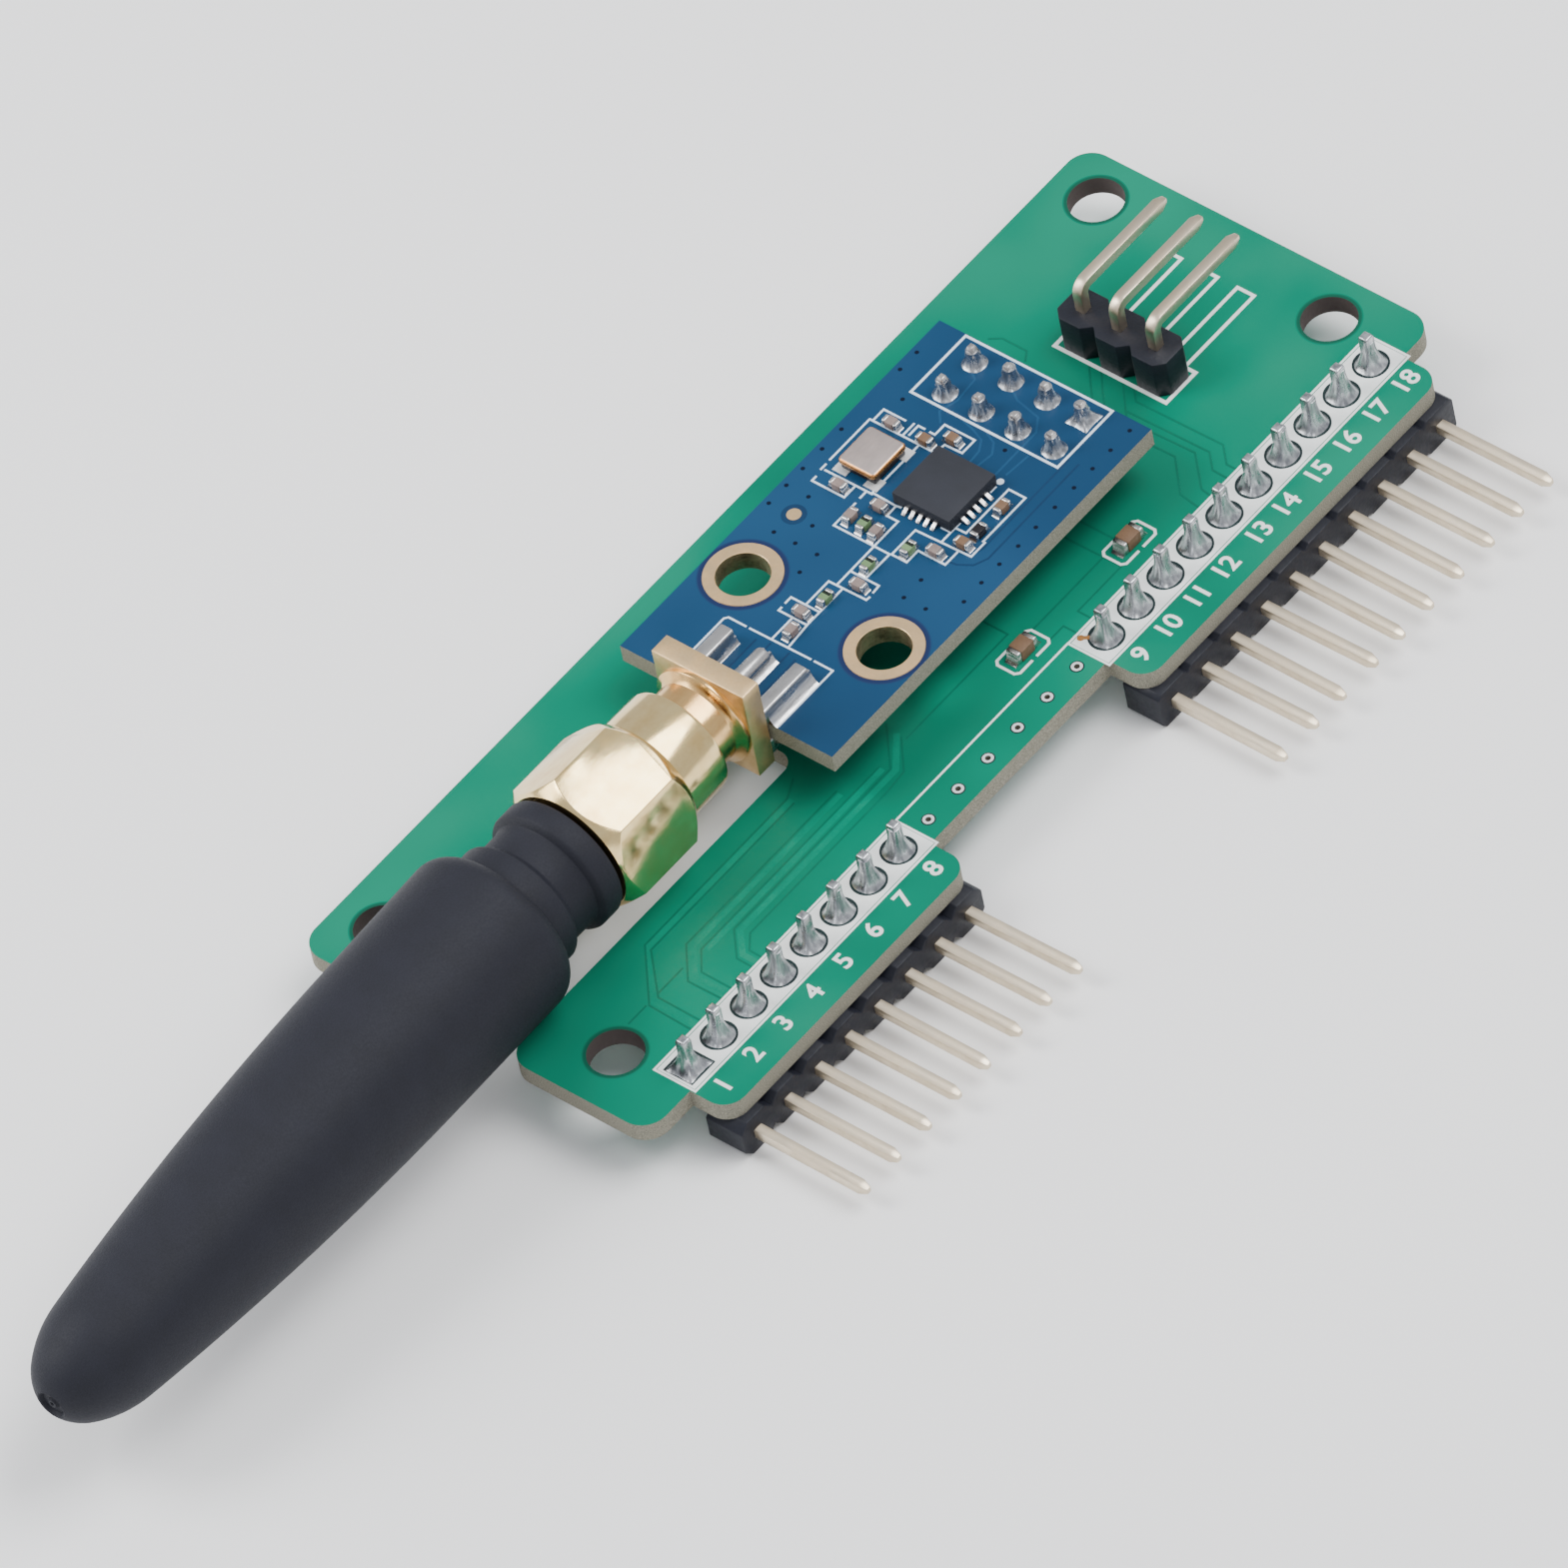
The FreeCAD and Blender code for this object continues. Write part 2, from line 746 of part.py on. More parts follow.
def nut_snap_ring():
    """A split ring, half in the plug's groove and half in the nut's."""
    front, back = snap_ring_y + snap_ring_t / 2, snap_ring_y - snap_ring_t / 2
    ring = rod(back, front, snap_ring_r).cut(rod(back, front, plug_r - snap_ring_bite))
    ring = ring.cut(block(0, snap_ring_y, 0, snap_ring_gap_w, snap_ring_t, snap_ring_r))
    return on_socket_axis(ring)


def plug_body():
    """The plug's turned body, from the mating face to the seam inside the rubber neck."""
    groove_r = plug_r - snap_ring_bite - fit
    groove_front, groove_back = snap_ring_y + snap_ring_t / 2 + fit, snap_ring_y - snap_ring_t / 2 - fit
    flange_end = gasket_back - plug_flange_t
    body = turned([
        (mating_plane, insulator_r + fit), (mating_plane, plug_sleeve_r), (gasket_back, plug_sleeve_r),
        (gasket_back, plug_flange_r), (flange_end, plug_flange_r), (flange_end, plug_r),
        (groove_front, plug_r), (groove_front, groove_r), (groove_back, groove_r), (groove_back, plug_r),
        (seam, plug_r), (seam, insulator_r + fit),
    ])
    return on_socket_axis(body)


def plug_insulator():
    tube = rod(seam, mating_plane, insulator_r).cut(rod(seam, mating_plane, plug_pin_r + fit))
    return on_socket_axis(tube)


def plug_contact():
    """Centre pin and feed rod in one, with the disc that carries the coil."""
    tip = mating_plane + plug_pin_out
    pin = turned([
        (seam - feed_disc_t, 0), (seam - feed_disc_t, coil_r), (seam, coil_r), (seam, plug_pin_r),
        (tip - plug_pin_r, plug_pin_r), (tip, plug_pin_r / 2), (tip, 0),
    ])
    return on_socket_axis(pin)


def antenna_coil():
    """A helix of square wire in short straight runs, held in line with the drooping sleeve."""
    half = coil_wire / 2
    points = []
    for n in range(coil_turns * coil_sides + 1):
        turn = n / coil_sides
        angle = 2 * math.pi * turn
        points.append(V(coil_r * math.cos(angle), coil_r * math.sin(angle), coil_pitch * turn))
    inner, outer = coil_r - half, coil_r + half
    corners = [V(inner, 0, -half), V(outer, 0, -half), V(outer, 0, half), V(inner, 0, half)]
    section = Part.makePolygon(corners + corners[:1])
    coil = Part.makePolygon(points).makePipeShell([section], True, False, 1)
    coil.rotate(V(0, 0, 0), X_AXIS, 90)
    coil.translate(V(0, seam - feed_disc_t - coil_clear - half, 0))
    return on_socket_axis(drooped(coil))


def sleeve_neck():
    """The ringed neck in line with the nut: end ring, waist and cuff, run on into the body."""
    ring_end = sleeve_start - ring_len
    waist_end = ring_end - neck_taper - waist_len
    return turned([
        (sleeve_start, 0), (sleeve_start, ring_r - ring_edge), (sleeve_start - ring_edge, ring_r),
        (ring_end, ring_r), (ring_end - neck_taper, waist_r), (waist_end, waist_r),
        (waist_end - neck_taper, cuff_r), (seam - shoulder_r, cuff_r), (seam - shoulder_r, 0),
    ])


def tangent_arc(start, direction, end):
    """The arc that leaves start along a direction and reaches end, and its direction there."""
    chord = end - start
    along = V(chord).normalize()
    bulge = (direction - along * direction.dot(along)).normalize()
    bulge = bulge * (chord.Length / 2 * math.tan(direction.getAngle(along) / 2))
    arc = Part.Arc(start, (start + end) / 2 + bulge, end).toShape()
    return arc, along * (2 * direction.dot(along)) - direction


def sleeve_body():
    """Shoulder, straight flank, arcs down to the nose and a dimpled tip, in narrow flat-sided bands."""
    tip = seam - sleeve_len
    place = V(0, seam, sleeve_r - shoulder_r)
    heading = Z_AXIS
    points = []
    crest = V(0, seam - shoulder_r, sleeve_r)
    flank_end = V(0, seam - flank_len, flank_r)
    nose = V(0, tip + nose_len, nose_r)
    brow = V(0, tip + brow_len, brow_r)
    rim = V(0, tip + rim_len, dimple_r)
    for target, steps in zip((crest, nose, brow, rim), sleeve_steps):
        arc, heading = tangent_arc(place, heading, target)
        points += arc.discretize(steps + 1)[:-1]
        place = target
        if target == crest:
            points.append(crest)
            heading = (flank_end - crest).normalize()
            place = flank_end
    floor_y = rim.y + dimple_depth
    stations = [(p.y, p.z) for p in points] + [
        (rim.y, dimple_r), (floor_y, dimple_r - dimple_depth / 2), (floor_y, nib_r), (floor_y - nib_h, nib_r),
    ]
    return turned_flat(stations, sleeve_sides)


def antenna_sleeve():
    """Rubber cap: neck and drooping body in one, hollow for the plug and the coil."""
    outside = sleeve_neck().fuse(drooped(sleeve_body()))
    plug_bore = rod(seam, sleeve_start, plug_r + fit)
    cavity_len = feed_disc_t + coil_len + coil_wire + 3 * coil_clear
    coil_room = drooped(rod(seam - cavity_len, seam + coil_clear, cavity_r))
    return on_socket_axis(outside.cut([plug_bore, coil_room]).removeSplitter())


PARTS = {
    "carrier_board": carrier_board,
    "header_1_8_body": lambda: row_header_body(pin_1_y, first_row_count, cell_chamfer),
    "header_1_8_pins": lambda: row_header_pins(pin_1_y, first_row_count),
    "header_1_8_solder": lambda: row_header_solder(pin_1_y, first_row_count),
    "header_9_18_body": lambda: row_header_body(pin_9_y, second_row_count, straight_chamfer),
    "header_9_18_pins": lambda: row_header_pins(pin_9_y, second_row_count),
    "header_9_18_solder": lambda: row_header_solder(pin_9_y, second_row_count),
    "serial_header_body": serial_header_body,
    "serial_header_pins": serial_header_pins,
    "serial_header_solder": serial_header_solder,
    "carrier_capacitors": lambda: carrier_capacitor_group(chip_part_body),
    "carrier_capacitor_ends": lambda: carrier_capacitor_group(chip_part_ends),
    "module_board": module_board,
    "module_hole_plating": module_hole_plating,
    "module_header_body": module_header_body,
    "module_header_pins": module_header_pins,
    "module_header_solder": module_header_solder,
    "carrier_header_solder": carrier_header_solder,
    "transceiver_chip": transceiver_chip,
    "chip_leads": chip_leads,
    "crystal_base": crystal_base,
    "crystal_lid": crystal_lid,
    "crystal_pads": crystal_pads,
    "small_capacitors": lambda: small_bodies(capacitor_places),
    "small_inductors": lambda: small_bodies(inductor_places),
    "small_resistor": lambda: small_bodies(resistor_places),
    "small_part_ends": small_part_ends,
    "jack_body": jack_body,
    "jack_insulator": jack_insulator,
    "jack_contact": jack_contact,
    "jack_solder": jack_solder,
    "coupling_nut": coupling_nut,
    "nut_gasket": nut_gasket,
    "nut_snap_ring": nut_snap_ring,
    "plug_body": plug_body,
    "plug_insulator": plug_insulator,
    "plug_contact": plug_contact,
    "antenna_coil": antenna_coil,
    "antenna_sleeve": antenna_sleeve,
}


def main():
    os.makedirs("parts", exist_ok=True)
    for name, make in PARTS.items():
        shape = make()
        shape.exportStep(os.path.join("parts", name + ".step"))
        print(name, len(shape.Solids), "solids", round(shape.Volume, 3), "mm3", "valid", shape.isValid())


main()
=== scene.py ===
import math
import random
import bpy
import bmesh
from mathutils import Matrix, Vector


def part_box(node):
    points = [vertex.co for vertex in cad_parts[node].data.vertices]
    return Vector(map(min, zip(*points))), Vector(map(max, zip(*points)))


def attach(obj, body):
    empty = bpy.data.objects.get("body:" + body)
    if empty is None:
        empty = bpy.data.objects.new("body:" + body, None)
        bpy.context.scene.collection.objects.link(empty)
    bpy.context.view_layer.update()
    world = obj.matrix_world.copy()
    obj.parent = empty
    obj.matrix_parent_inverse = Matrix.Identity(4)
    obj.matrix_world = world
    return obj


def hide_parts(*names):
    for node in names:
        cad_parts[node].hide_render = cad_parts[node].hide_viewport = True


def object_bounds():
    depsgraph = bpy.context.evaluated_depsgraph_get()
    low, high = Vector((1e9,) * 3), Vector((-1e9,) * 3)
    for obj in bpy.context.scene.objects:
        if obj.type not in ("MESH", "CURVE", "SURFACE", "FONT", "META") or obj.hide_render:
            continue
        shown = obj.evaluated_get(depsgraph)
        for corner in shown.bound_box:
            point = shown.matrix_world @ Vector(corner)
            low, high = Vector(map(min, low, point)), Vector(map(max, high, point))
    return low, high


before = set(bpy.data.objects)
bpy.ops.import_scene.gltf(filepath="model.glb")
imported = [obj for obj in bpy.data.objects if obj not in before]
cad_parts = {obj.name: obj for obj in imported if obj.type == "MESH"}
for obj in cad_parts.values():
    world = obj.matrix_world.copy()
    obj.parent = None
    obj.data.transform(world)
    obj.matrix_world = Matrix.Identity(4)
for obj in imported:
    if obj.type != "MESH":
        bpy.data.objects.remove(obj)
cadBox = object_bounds()
scene = bpy.context.scene
mm = 0.001  # every size below is in millimetres, in the frame of the model
pitch = 2.54
dice = random.Random(18)


# Places read from the frame

def corners(node):
    low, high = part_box(node)
    return low / mm, high / mm


def solidsOf(node):
    # lowest and highest corner of each separate solid of a node, along Y and then X
    bm = bmesh.new()
    bm.from_mesh(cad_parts[node].data)
    bmesh.ops.scale(bm, vec=Vector((1, 1, 1)) / mm, verts=bm.verts)
    bmesh.ops.remove_doubles(bm, verts=bm.verts, dist=0.0005)
    left, found = set(bm.verts), []
    while left:
        group, edge = set(), [left.pop()]
        while edge:
            vert = edge.pop()
            group.add(vert)
            fresh = {e.other_vert(vert) for e in vert.link_edges} & left
            left -= fresh
            edge += fresh
        found.append((Vector([min(v.co[i] for v in group) for i in range(3)]),
                      Vector([max(v.co[i] for v in group) for i in range(3)])))
    bm.free()
    return sorted(found, key=lambda box: (round(box[0].y, 2), box[0].x))


def middlesOf(node):
    return [(low + high) / 2 for low, high in solidsOf(node)]


carrierLow, carrierHigh = corners("carrier_board")
moduleLow, moduleHigh = corners("module_board")
carrierTop, moduleTop = carrierHigh.z, moduleHigh.z
rowX = sum(c.x for c in corners("header_1_8_solder")) / 2


# Small mesh tools

def linked(name, data):
    made = bpy.data.objects.new(name, data)
    scene.collection.objects.link(made)
    return made


def settle(bm, name, coats, node=None, sharp=34):
    # a finished mesh becomes a piece of the object, in place of a CAD node
    bmesh.ops.scale(bm, vec=Vector((mm, mm, mm)), verts=bm.verts)
    mesh = bpy.data.meshes.new(name)
    bm.to_mesh(mesh)
    bm.free()
    for coat in coats:
        mesh.materials.append(finishes[coat])
    mesh.shade_smooth()
    mesh.set_sharp_from_angle(angle=math.radians(sharp))
    piece = linked(name, mesh)
    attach(piece, "root")
    if node:
        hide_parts(node)


def addShape(bm, shape, matrix=Matrix(), coat=None):
    # moves a finished shape into another bmesh, at a place
    if coat is not None:
        for face in shape.faces:
            face.material_index = coat
    spare = bpy.data.meshes.new("spare")
    shape.to_mesh(spare)
    shape.free()
    spare.transform(matrix)
    if matrix.determinant() < 0:
        spare.flip_normals()
    bm.from_mesh(spare)
    bpy.data.meshes.remove(spare)


def shift(x, y, z=0.0):
    return Matrix.Translation((x, y, z))


def turn(degrees, axis):
    return Matrix.Rotation(math.radians(degrees), 4, axis)


def facing(axis, sign):
    # the quarter turns about Z that bring +X to this side
    return turn({(0, 1): 0, (1, 1): 90, (0, -1): 180, (1, -1): 270}[axis, sign], "Z")


def roundOver(bm, edges, radius, segments=2):
    bmesh.ops.bevel(bm, geom=edges, offset=radius, segments=segments, affect="EDGES",
                    profile=0.5, material=-1, clamp_overlap=True)


def softBox(bm, low, high, radius, segments=2, coat=0):
    # a box with its edges rounded over
    low, high = Vector(low), Vector(high)
    size = high - low
    before = set(bm.faces)
    matrix = Matrix.Translation((low + high) / 2) @ Matrix.Diagonal(size).to_4x4()
    made = bmesh.ops.create_cube(bm, size=1, matrix=matrix)["verts"]
    if radius:
        edges = {e for v in made for e in v.link_edges}
        roundOver(bm, list(edges), min(radius, 0.45 * min(size)), segments)
    for face in set(bm.faces) - before:
        face.material_index = coat


def lathe(profile, steps, upright=False):
    # spins (along, radius) stations about Y, or about Z when upright
    bm = bmesh.new()
    verts = [bm.verts.new((r, 0, a) if upright else (r, a, 0)) for a, r in profile]
    edges = [bm.edges.new(pair) for pair in zip(verts, verts[1:])]
    bmesh.ops.spin(bm, geom=verts + edges, cent=(0, 0, 0), axis=(0, 0, 1) if upright else (0, 1, 0),
                   angle=2 * math.pi, steps=steps, use_merge=True, use_duplicate=False)
    bmesh.ops.remove_doubles(bm, verts=bm.verts, dist=0.0005)
    bmesh.ops.recalc_face_normals(bm, faces=bm.faces)
    return bm


def drawOut(bm, faces, matrix):
    # extrudes faces and moves their new end; returns that end
    made = bmesh.ops.extrude_face_region(bm, geom=faces)["geom"]
    verts = [g for g in made if isinstance(g, bmesh.types.BMVert)]
    bmesh.ops.transform(bm, matrix=matrix, verts=verts)
    return [g for g in made if isinstance(g, bmesh.types.BMFace)]


def slab(outline, low, high, rounding=0.0, segments=2):
    # an outline of (x, y) points raised between two levels
    bm = bmesh.new()
    face = bm.faces.new([bm.verts.new((x, y, low)) for x, y in outline])
    drawOut(bm, [face], shift(0, 0, high - low))
    bmesh.ops.recalc_face_normals(bm, faces=bm.faces)
    if rounding:
        roundOver(bm, bm.edges[:], rounding, segments)
    return bm


def strip(bm, path, width, z, height, closed=False, coat=0):
    # a flat line through (x, y) points, its corners mitred and its ends squared past the last points
    points = [Vector(p).to_2d() for p in path]
    count = len(points)
    sides = []
    for i, here in enumerate(points):
        ahead = points[(i + 1) % count] - here if closed or i < count - 1 else None
        behind = here - points[i - 1] if closed or i > 0 else None
        runs = [v.normalized() for v in (behind, ahead) if v is not None]
        along = sum(runs, Vector((0, 0))).normalized()
        across = Vector((-along.y, along.x))
        stretch = width / 2 / max(0.3, across.dot(Vector((-runs[0].y, runs[0].x))))
        end = Vector((0, 0))
        if not closed and i in (0, count - 1):
            end = along * (width / 2) * (-1 if i == 0 else 1)
        sides.append([bm.verts.new((*(here + end + across * side * stretch), z)) for side in (-1, 1)])
    pairs = list(zip(sides, sides[1:])) + ([(sides[-1], sides[0])] if closed else [])
    faces = [bm.faces.new((a[0], b[0], b[1], a[1])) for a, b in pairs]
    top = drawOut(bm, faces, shift(0, 0, height))
    for face in set(faces) | {f for t in top for v in t.verts for f in v.link_faces}:
        if face.is_valid:
            face.material_index = coat


def boxed(x0, y0, x1, y1):
    return [(x0, y0), (x1, y0), (x1, y1), (x0, y1)]


# Shader maths

class Wire:
    # a socket that adds Math nodes where it stands in a sum
    def __init__(self, recipe, socket):
        self.recipe, self.socket = recipe, socket

    def maths(self, operation, *parts):
        return self.recipe.node("Math", {"operation": operation}, dict(enumerate(parts)))

    def __add__(self, other):
        return self.maths("ADD", self, other)

    def __radd__(self, other):
        return self.maths("ADD", other, self)

    def __sub__(self, other):
        return self.maths("SUBTRACT", self, other)

    def __rsub__(self, other):
        return self.maths("SUBTRACT", other, self)

    def __mul__(self, other):
        return self.maths("MULTIPLY", self, other)

    def __rmul__(self, other):
        return self.maths("MULTIPLY", other, self)

    def __gt__(self, other):
        return self.maths("GREATER_THAN", self, other)

    def __lt__(self, other):
        return self.maths("LESS_THAN", self, other)

    def __pow__(self, other):
        return self.maths("POWER", self, other)

    def __abs__(self):
        return self.maths("ABSOLUTE", self)


def paint(screen):
    # a screen colour, 0 to 255, as the renderer's own
    return tuple(c / 255 / 12.92 if c < 11 else ((c / 255 + 0.055) / 1.055) ** 2.4 for c in screen) + (1.0,)


class Recipe:
    # a material: its constants are set on the shader, and its nodes are added by node()
    def __init__(self, name, colour, **fixed):
        self.material = bpy.data.materials.new(name)
        self.material.use_nodes = True
        self.tree = self.material.node_tree
        self.shader = self.tree.nodes["Principled BSDF"]
        self.shader.inputs["Base Color"].default_value = colour
        self.material.diffuse_color = colour
        for key, value in fixed.items():
            self.shader.inputs[key.replace("_", " ")].default_value = value

    def node(self, kind, settings=None, sockets=None, output=0):
        made = self.tree.nodes.new("ShaderNode" + kind)
        for key, value in (settings or {}).items():
            if key == "stops":
                ramp = made.color_ramp.elements
                while len(ramp) < len(value):
                    ramp.new(0.5)
                for stop, (place, colour) in zip(ramp, value):
                    stop.position, stop.color = place, paint(colour)
            else:
                setattr(made, key, value)
        for key, value in (sockets or {}).items():
            if isinstance(value, Wire):
                self.tree.links.new(value.socket, made.inputs[key])
            else:
                made.inputs[key].default_value = value
        return Wire(self, made.outputs[output])

    def give(self, socket, wire):
        self.tree.links.new(wire.socket, self.shader.inputs[socket])

    def place(self, stretch=(1, 1, 1)):
        # object coordinates in millimetres, stretched along each axis
        return self.node("Mapping", {}, {
            "Vector": self.node("TexCoord", output="Object"), "Scale": [s / mm for s in stretch]})

    def noise(self, where, scale, detail=3.0, roughness=0.55):
        return self.node("TexNoise", {}, {
            "Vector": where, "Scale": scale, "Detail": detail, "Roughness": roughness})

    def blend(self, factor, first, second):
        return self.node("Mix", {"data_type": "RGBA"}, {0: factor, 6: first, 7: second}, output=2)

    def axes(self, vector):
        return [self.node("SeparateXYZ", {}, {"Vector": vector}, output=i) for i in range(3)]

    def span(self, value, low, high):
        # 0 at low, 1 at high, held between
        return self.node("MapRange", {"clamp": True}, {"Value": value, "From Min": low, "From Max": high})

    def bump(self, height, distance, strength=1.0):
        # height is 0 to 1, distance in millimetres
        self.give("Normal", self.node("Bump", {}, {
            "Height": height, "Distance": distance * mm, "Strength": strength}))


print("helpers ready")


# Finishes

# the laminate's colours; its bore colour is painted shade, the dark brown put on the walls of the holes out
# to boreWall past their radius
laminate = {"stops": [(0.36, (92, 90, 79)), (0.52, (134, 131, 117)), (0.68, (178, 175, 160))],
            "bore": (84, 76, 74), "rimIn": 0.14, "rimOut": 0.28, "boreWall": 0.1}


def boardFinish(name, light, dark, rim, centres, holeR):
    # solder mask on both faces, bare laminate on the edges, and painted shade on the walls of the holes,
    # which are made dark brown
    light, dark, rim = paint(light), paint(dark), paint(rim)
    made = Recipe(name, light, Specular_IOR_Level=0.14)
    where = made.place()
    x, y = made.axes(where)[:2]
    level = abs(made.axes(made.node("NewGeometry", output="Normal"))[2]) > 0.7
    cloud = made.noise(where, 0.07, 2.0)
    mask = made.blend(made.span(cloud, 0.35, 0.65), light, dark)
    out = ((abs(x) - centres[0]) ** 2.0 + (abs(y - centres[2]) - centres[1]) ** 2.0) ** 0.5
    nearHole = made.span(out, holeR + laminate["rimOut"], holeR + laminate["rimIn"])
    mask = made.blend(nearHole, mask, rim)
    fibres = made.noise(made.place((1, 1, 2.2)), 13.0, 4.0, 0.75)
    edge = made.node("ValToRGB", {"stops": laminate["stops"]}, {"Fac": fibres})
    # painted shade: the walls of the holes are made dark brown, as shade falls in them
    edge = made.blend(out < holeR + laminate["boreWall"], edge, paint(laminate["bore"]))
    made.give("Base Color", made.blend(level, edge, mask))
    made.give("Roughness", 0.75 - level * 0.42 + made.noise(where, 1.6) * 0.08)
    weave = made.noise(where, 3.0, 2.0) * 0.3
    made.bump(weave * level + fibres * (1 - level), 0.02, 0.5)
    return made.material


def printFinish(name, colour):
    colour = paint(colour)
    worn = tuple(c * 0.86 for c in colour[:3]) + (1.0,)
    made = Recipe(name, colour)
    where = made.place()
    made.give("Base Color", made.blend(made.noise(where, 2.2), colour, worn))
    made.give("Roughness", 0.5 + made.noise(where, 6.0) * 0.2)
    made.bump(made.noise(where, 14.0), 0.006)
    return made.material


def metalFinish(name, light, dark, roughness, grain, grainScale, depth, spread=0.15):
    # metal with a drawn or cast grain and a little tarnish
    light, dark = paint(light), paint(dark)
    made = Recipe(name, light, Metallic=1.0)
    lines = made.noise(made.place(grain), grainScale, 4.0, 0.65)
    tarnish = made.noise(made.place(), 0.9)
    made.give("Base Color", made.blend(made.span(tarnish * 0.6 + lines * 0.4, 0.38, 0.66), light, dark))
    made.give("Roughness", (roughness - spread / 2) + made.span(tarnish, 0.3, 0.7) * spread)
    made.bump(lines, depth)
    return made.material


def mouldFinish(name, light, dark, roughness, grainScale, depth, gloss=0.25):
    # moulded plastic, ceramic or rubber with a fine grain
    light, dark = paint(light), paint(dark)
    made = Recipe(name, light, Specular_IOR_Level=gloss)
    where = made.place()
    cloud = made.noise(where, 0.55)
    fine = made.noise(where, grainScale, 3.0, 0.6)
    made.give("Base Color", made.blend(made.span(cloud * 0.6 + fine * 0.4, 0.36, 0.64), light, dark))
    made.give("Roughness", (roughness - 0.05) + made.span(fine, 0.3, 0.7) * 0.12)
    made.bump(fine, depth)
    return made.material


def solderFinish(name, light, dark, marks, depth):
    # bright solder, with faint pull marks along it
    light, dark = paint(light), paint(dark)
    made = Recipe(name, light, Metallic=1.0)
    pull = made.noise(made.place(marks), 3.5, 2.0, 0.5)
    cloud = made.noise(made.place(), 1.8)
    made.give("Base Color", made.blend(made.span(cloud * 0.4 + pull * 0.6, 0.4, 0.62), light, dark))
    made.give("Roughness", 0.22 + made.span(cloud, 0.35, 0.7) * 0.16)
    made.bump(pull, depth)
    return made.material


# light, dark, the rim at a hole, how far the holes stand from the middle (x, y, middle's y), their radius
boards = {
    "carrier": ("green board mask", (6, 124, 97), (2, 106, 82), (8, 80, 62), (8.155, 30.55, 0.0), 1.6),
    "module": ("blue board mask", (27, 66, 99), (22, 57, 88), (26, 40, 76), (4.93, 0.0, -2.97), 2.3),
}
# light, dark, roughness, stretch of the grain, its scale, its depth, spread of the roughness
metals = {
    "pin": ("pin plating", (228, 214, 190), (208, 193, 168), 0.38, (0.2, 1, 1), 1.1, 0.0008),
    "serialPin": ("long pin plating", (222, 207, 184), (198, 182, 158), 0.38, (1, 0.2, 1), 1.1, 0.0008),
    "tinned": ("tinned ends", (216, 213, 210), (172, 168, 166), 0.26, (1, 1, 1), 5.0, 0.012),
    "padTin": ("tinned pads", (243, 244, 244), (222, 223, 224), 0.6, (1, 1, 1), 4.0, 0.01),
    "legTin": ("tinned legs", (206, 205, 204), (170, 169, 168), 0.3, (1, 0.5, 1), 2.0, 0.012),
    "lid": ("crystal lid", (208, 194, 188), (192, 178, 172), 0.42, (1, 0.2, 1), 7.0, 0.004),
    "lidEdge": ("gilt lid edge", (222, 160, 100), (190, 128, 76), 0.3, (1, 1, 1), 5.0, 0.004),
    "gilt": ("gold on the board", (243, 209, 160), (230, 193, 142), 0.4, (1, 1, 1), 4.0, 0.006),
    "boreWall": ("plated bore", (192, 174, 142), (112, 98, 76), 0.6, (1, 1, 3), 3.0, 0.05),
    "jackGold": ("polished jack gold", (239, 199, 134), (218, 171, 110), 0.2, (1, 0.3, 1), 1.4, 0.008),
    "flangeGold": ("dull flange gold", (242, 210, 160), (226, 190, 138), 0.42, (1, 1, 1), 6.0, 0.012),
    "nutGold": ("nut gold", (247, 222, 162), (232, 199, 136), 0.15, (1, 0.25, 1), 1.5, 0.006, 0.08),
    "steel": ("spring steel", (190, 190, 188), (150, 150, 150), 0.3, (1, 1, 1), 5.0, 0.006),
    "copper": ("coil wire", (206, 132, 92), (170, 100, 66), 0.3, (1, 1, 1), 5.0, 0.006),
}
# light, dark, roughness, scale of the grain, its depth, gloss
moulds = {
    "gap": ("mask between tracks", (5, 103, 81), (4, 96, 75), 0.35, 8.0, 0.002, 0.14),
    "track": ("mask over a track", (8, 130, 102), (5, 117, 92), 0.35, 8.0, 0.002, 0.14),
    "moduleGap": ("dark mask between tracks", (22, 53, 84), (19, 47, 76), 0.35, 8.0, 0.002, 0.14),
    "moduleTrack": ("blue mask over a track", (31, 73, 106), (27, 65, 98), 0.35, 8.0, 0.002, 0.14),
    "viaDark": ("filled via", (8, 20, 40), (6, 16, 34), 0.5, 8.0, 0.002, 0.1),
    "headerBlack": ("header plastic", (30, 32, 41), (24, 26, 34), 0.42, 5.0, 0.012),
    "well": ("bare ring round a pad", (26, 46, 46), (20, 34, 36), 0.3, 9.0, 0.003),
    "brownBody": ("brown ceramic", (122, 96, 74), (104, 80, 62), 0.45, 10.0, 0.006),
    "greyBody": ("pinkish grey ceramic", (142, 126, 120), (120, 106, 102), 0.45, 10.0, 0.006),
    "greenBody": ("green ceramic", (112, 138, 98), (90, 118, 80), 0.4, 10.0, 0.006),
    "darkBand": ("dark band on ceramic", (26, 34, 26), (20, 26, 20), 0.4, 10.0, 0.004),
    "blackBody": ("black glaze", (30, 28, 32), (22, 20, 24), 0.35, 10.0, 0.004),
    "chip": ("chip moulding", (43, 45, 52), (38, 40, 46), 0.55, 16.0, 0.006),
    "crystalBase": ("dark ceramic base", (32, 27, 32), (24, 20, 25), 0.5, 10.0, 0.006),
    "white": ("white insulator", (232, 230, 224), (214, 212, 206), 0.5, 6.0, 0.004),
    "gasket": ("gasket rubber", (70, 64, 60), (50, 46, 44), 0.6, 8.0, 0.006),
    "rubber": ("antenna rubber", (33, 34, 42), (30, 31, 38), 0.6, 9.0, 0.016, 0.2),
}
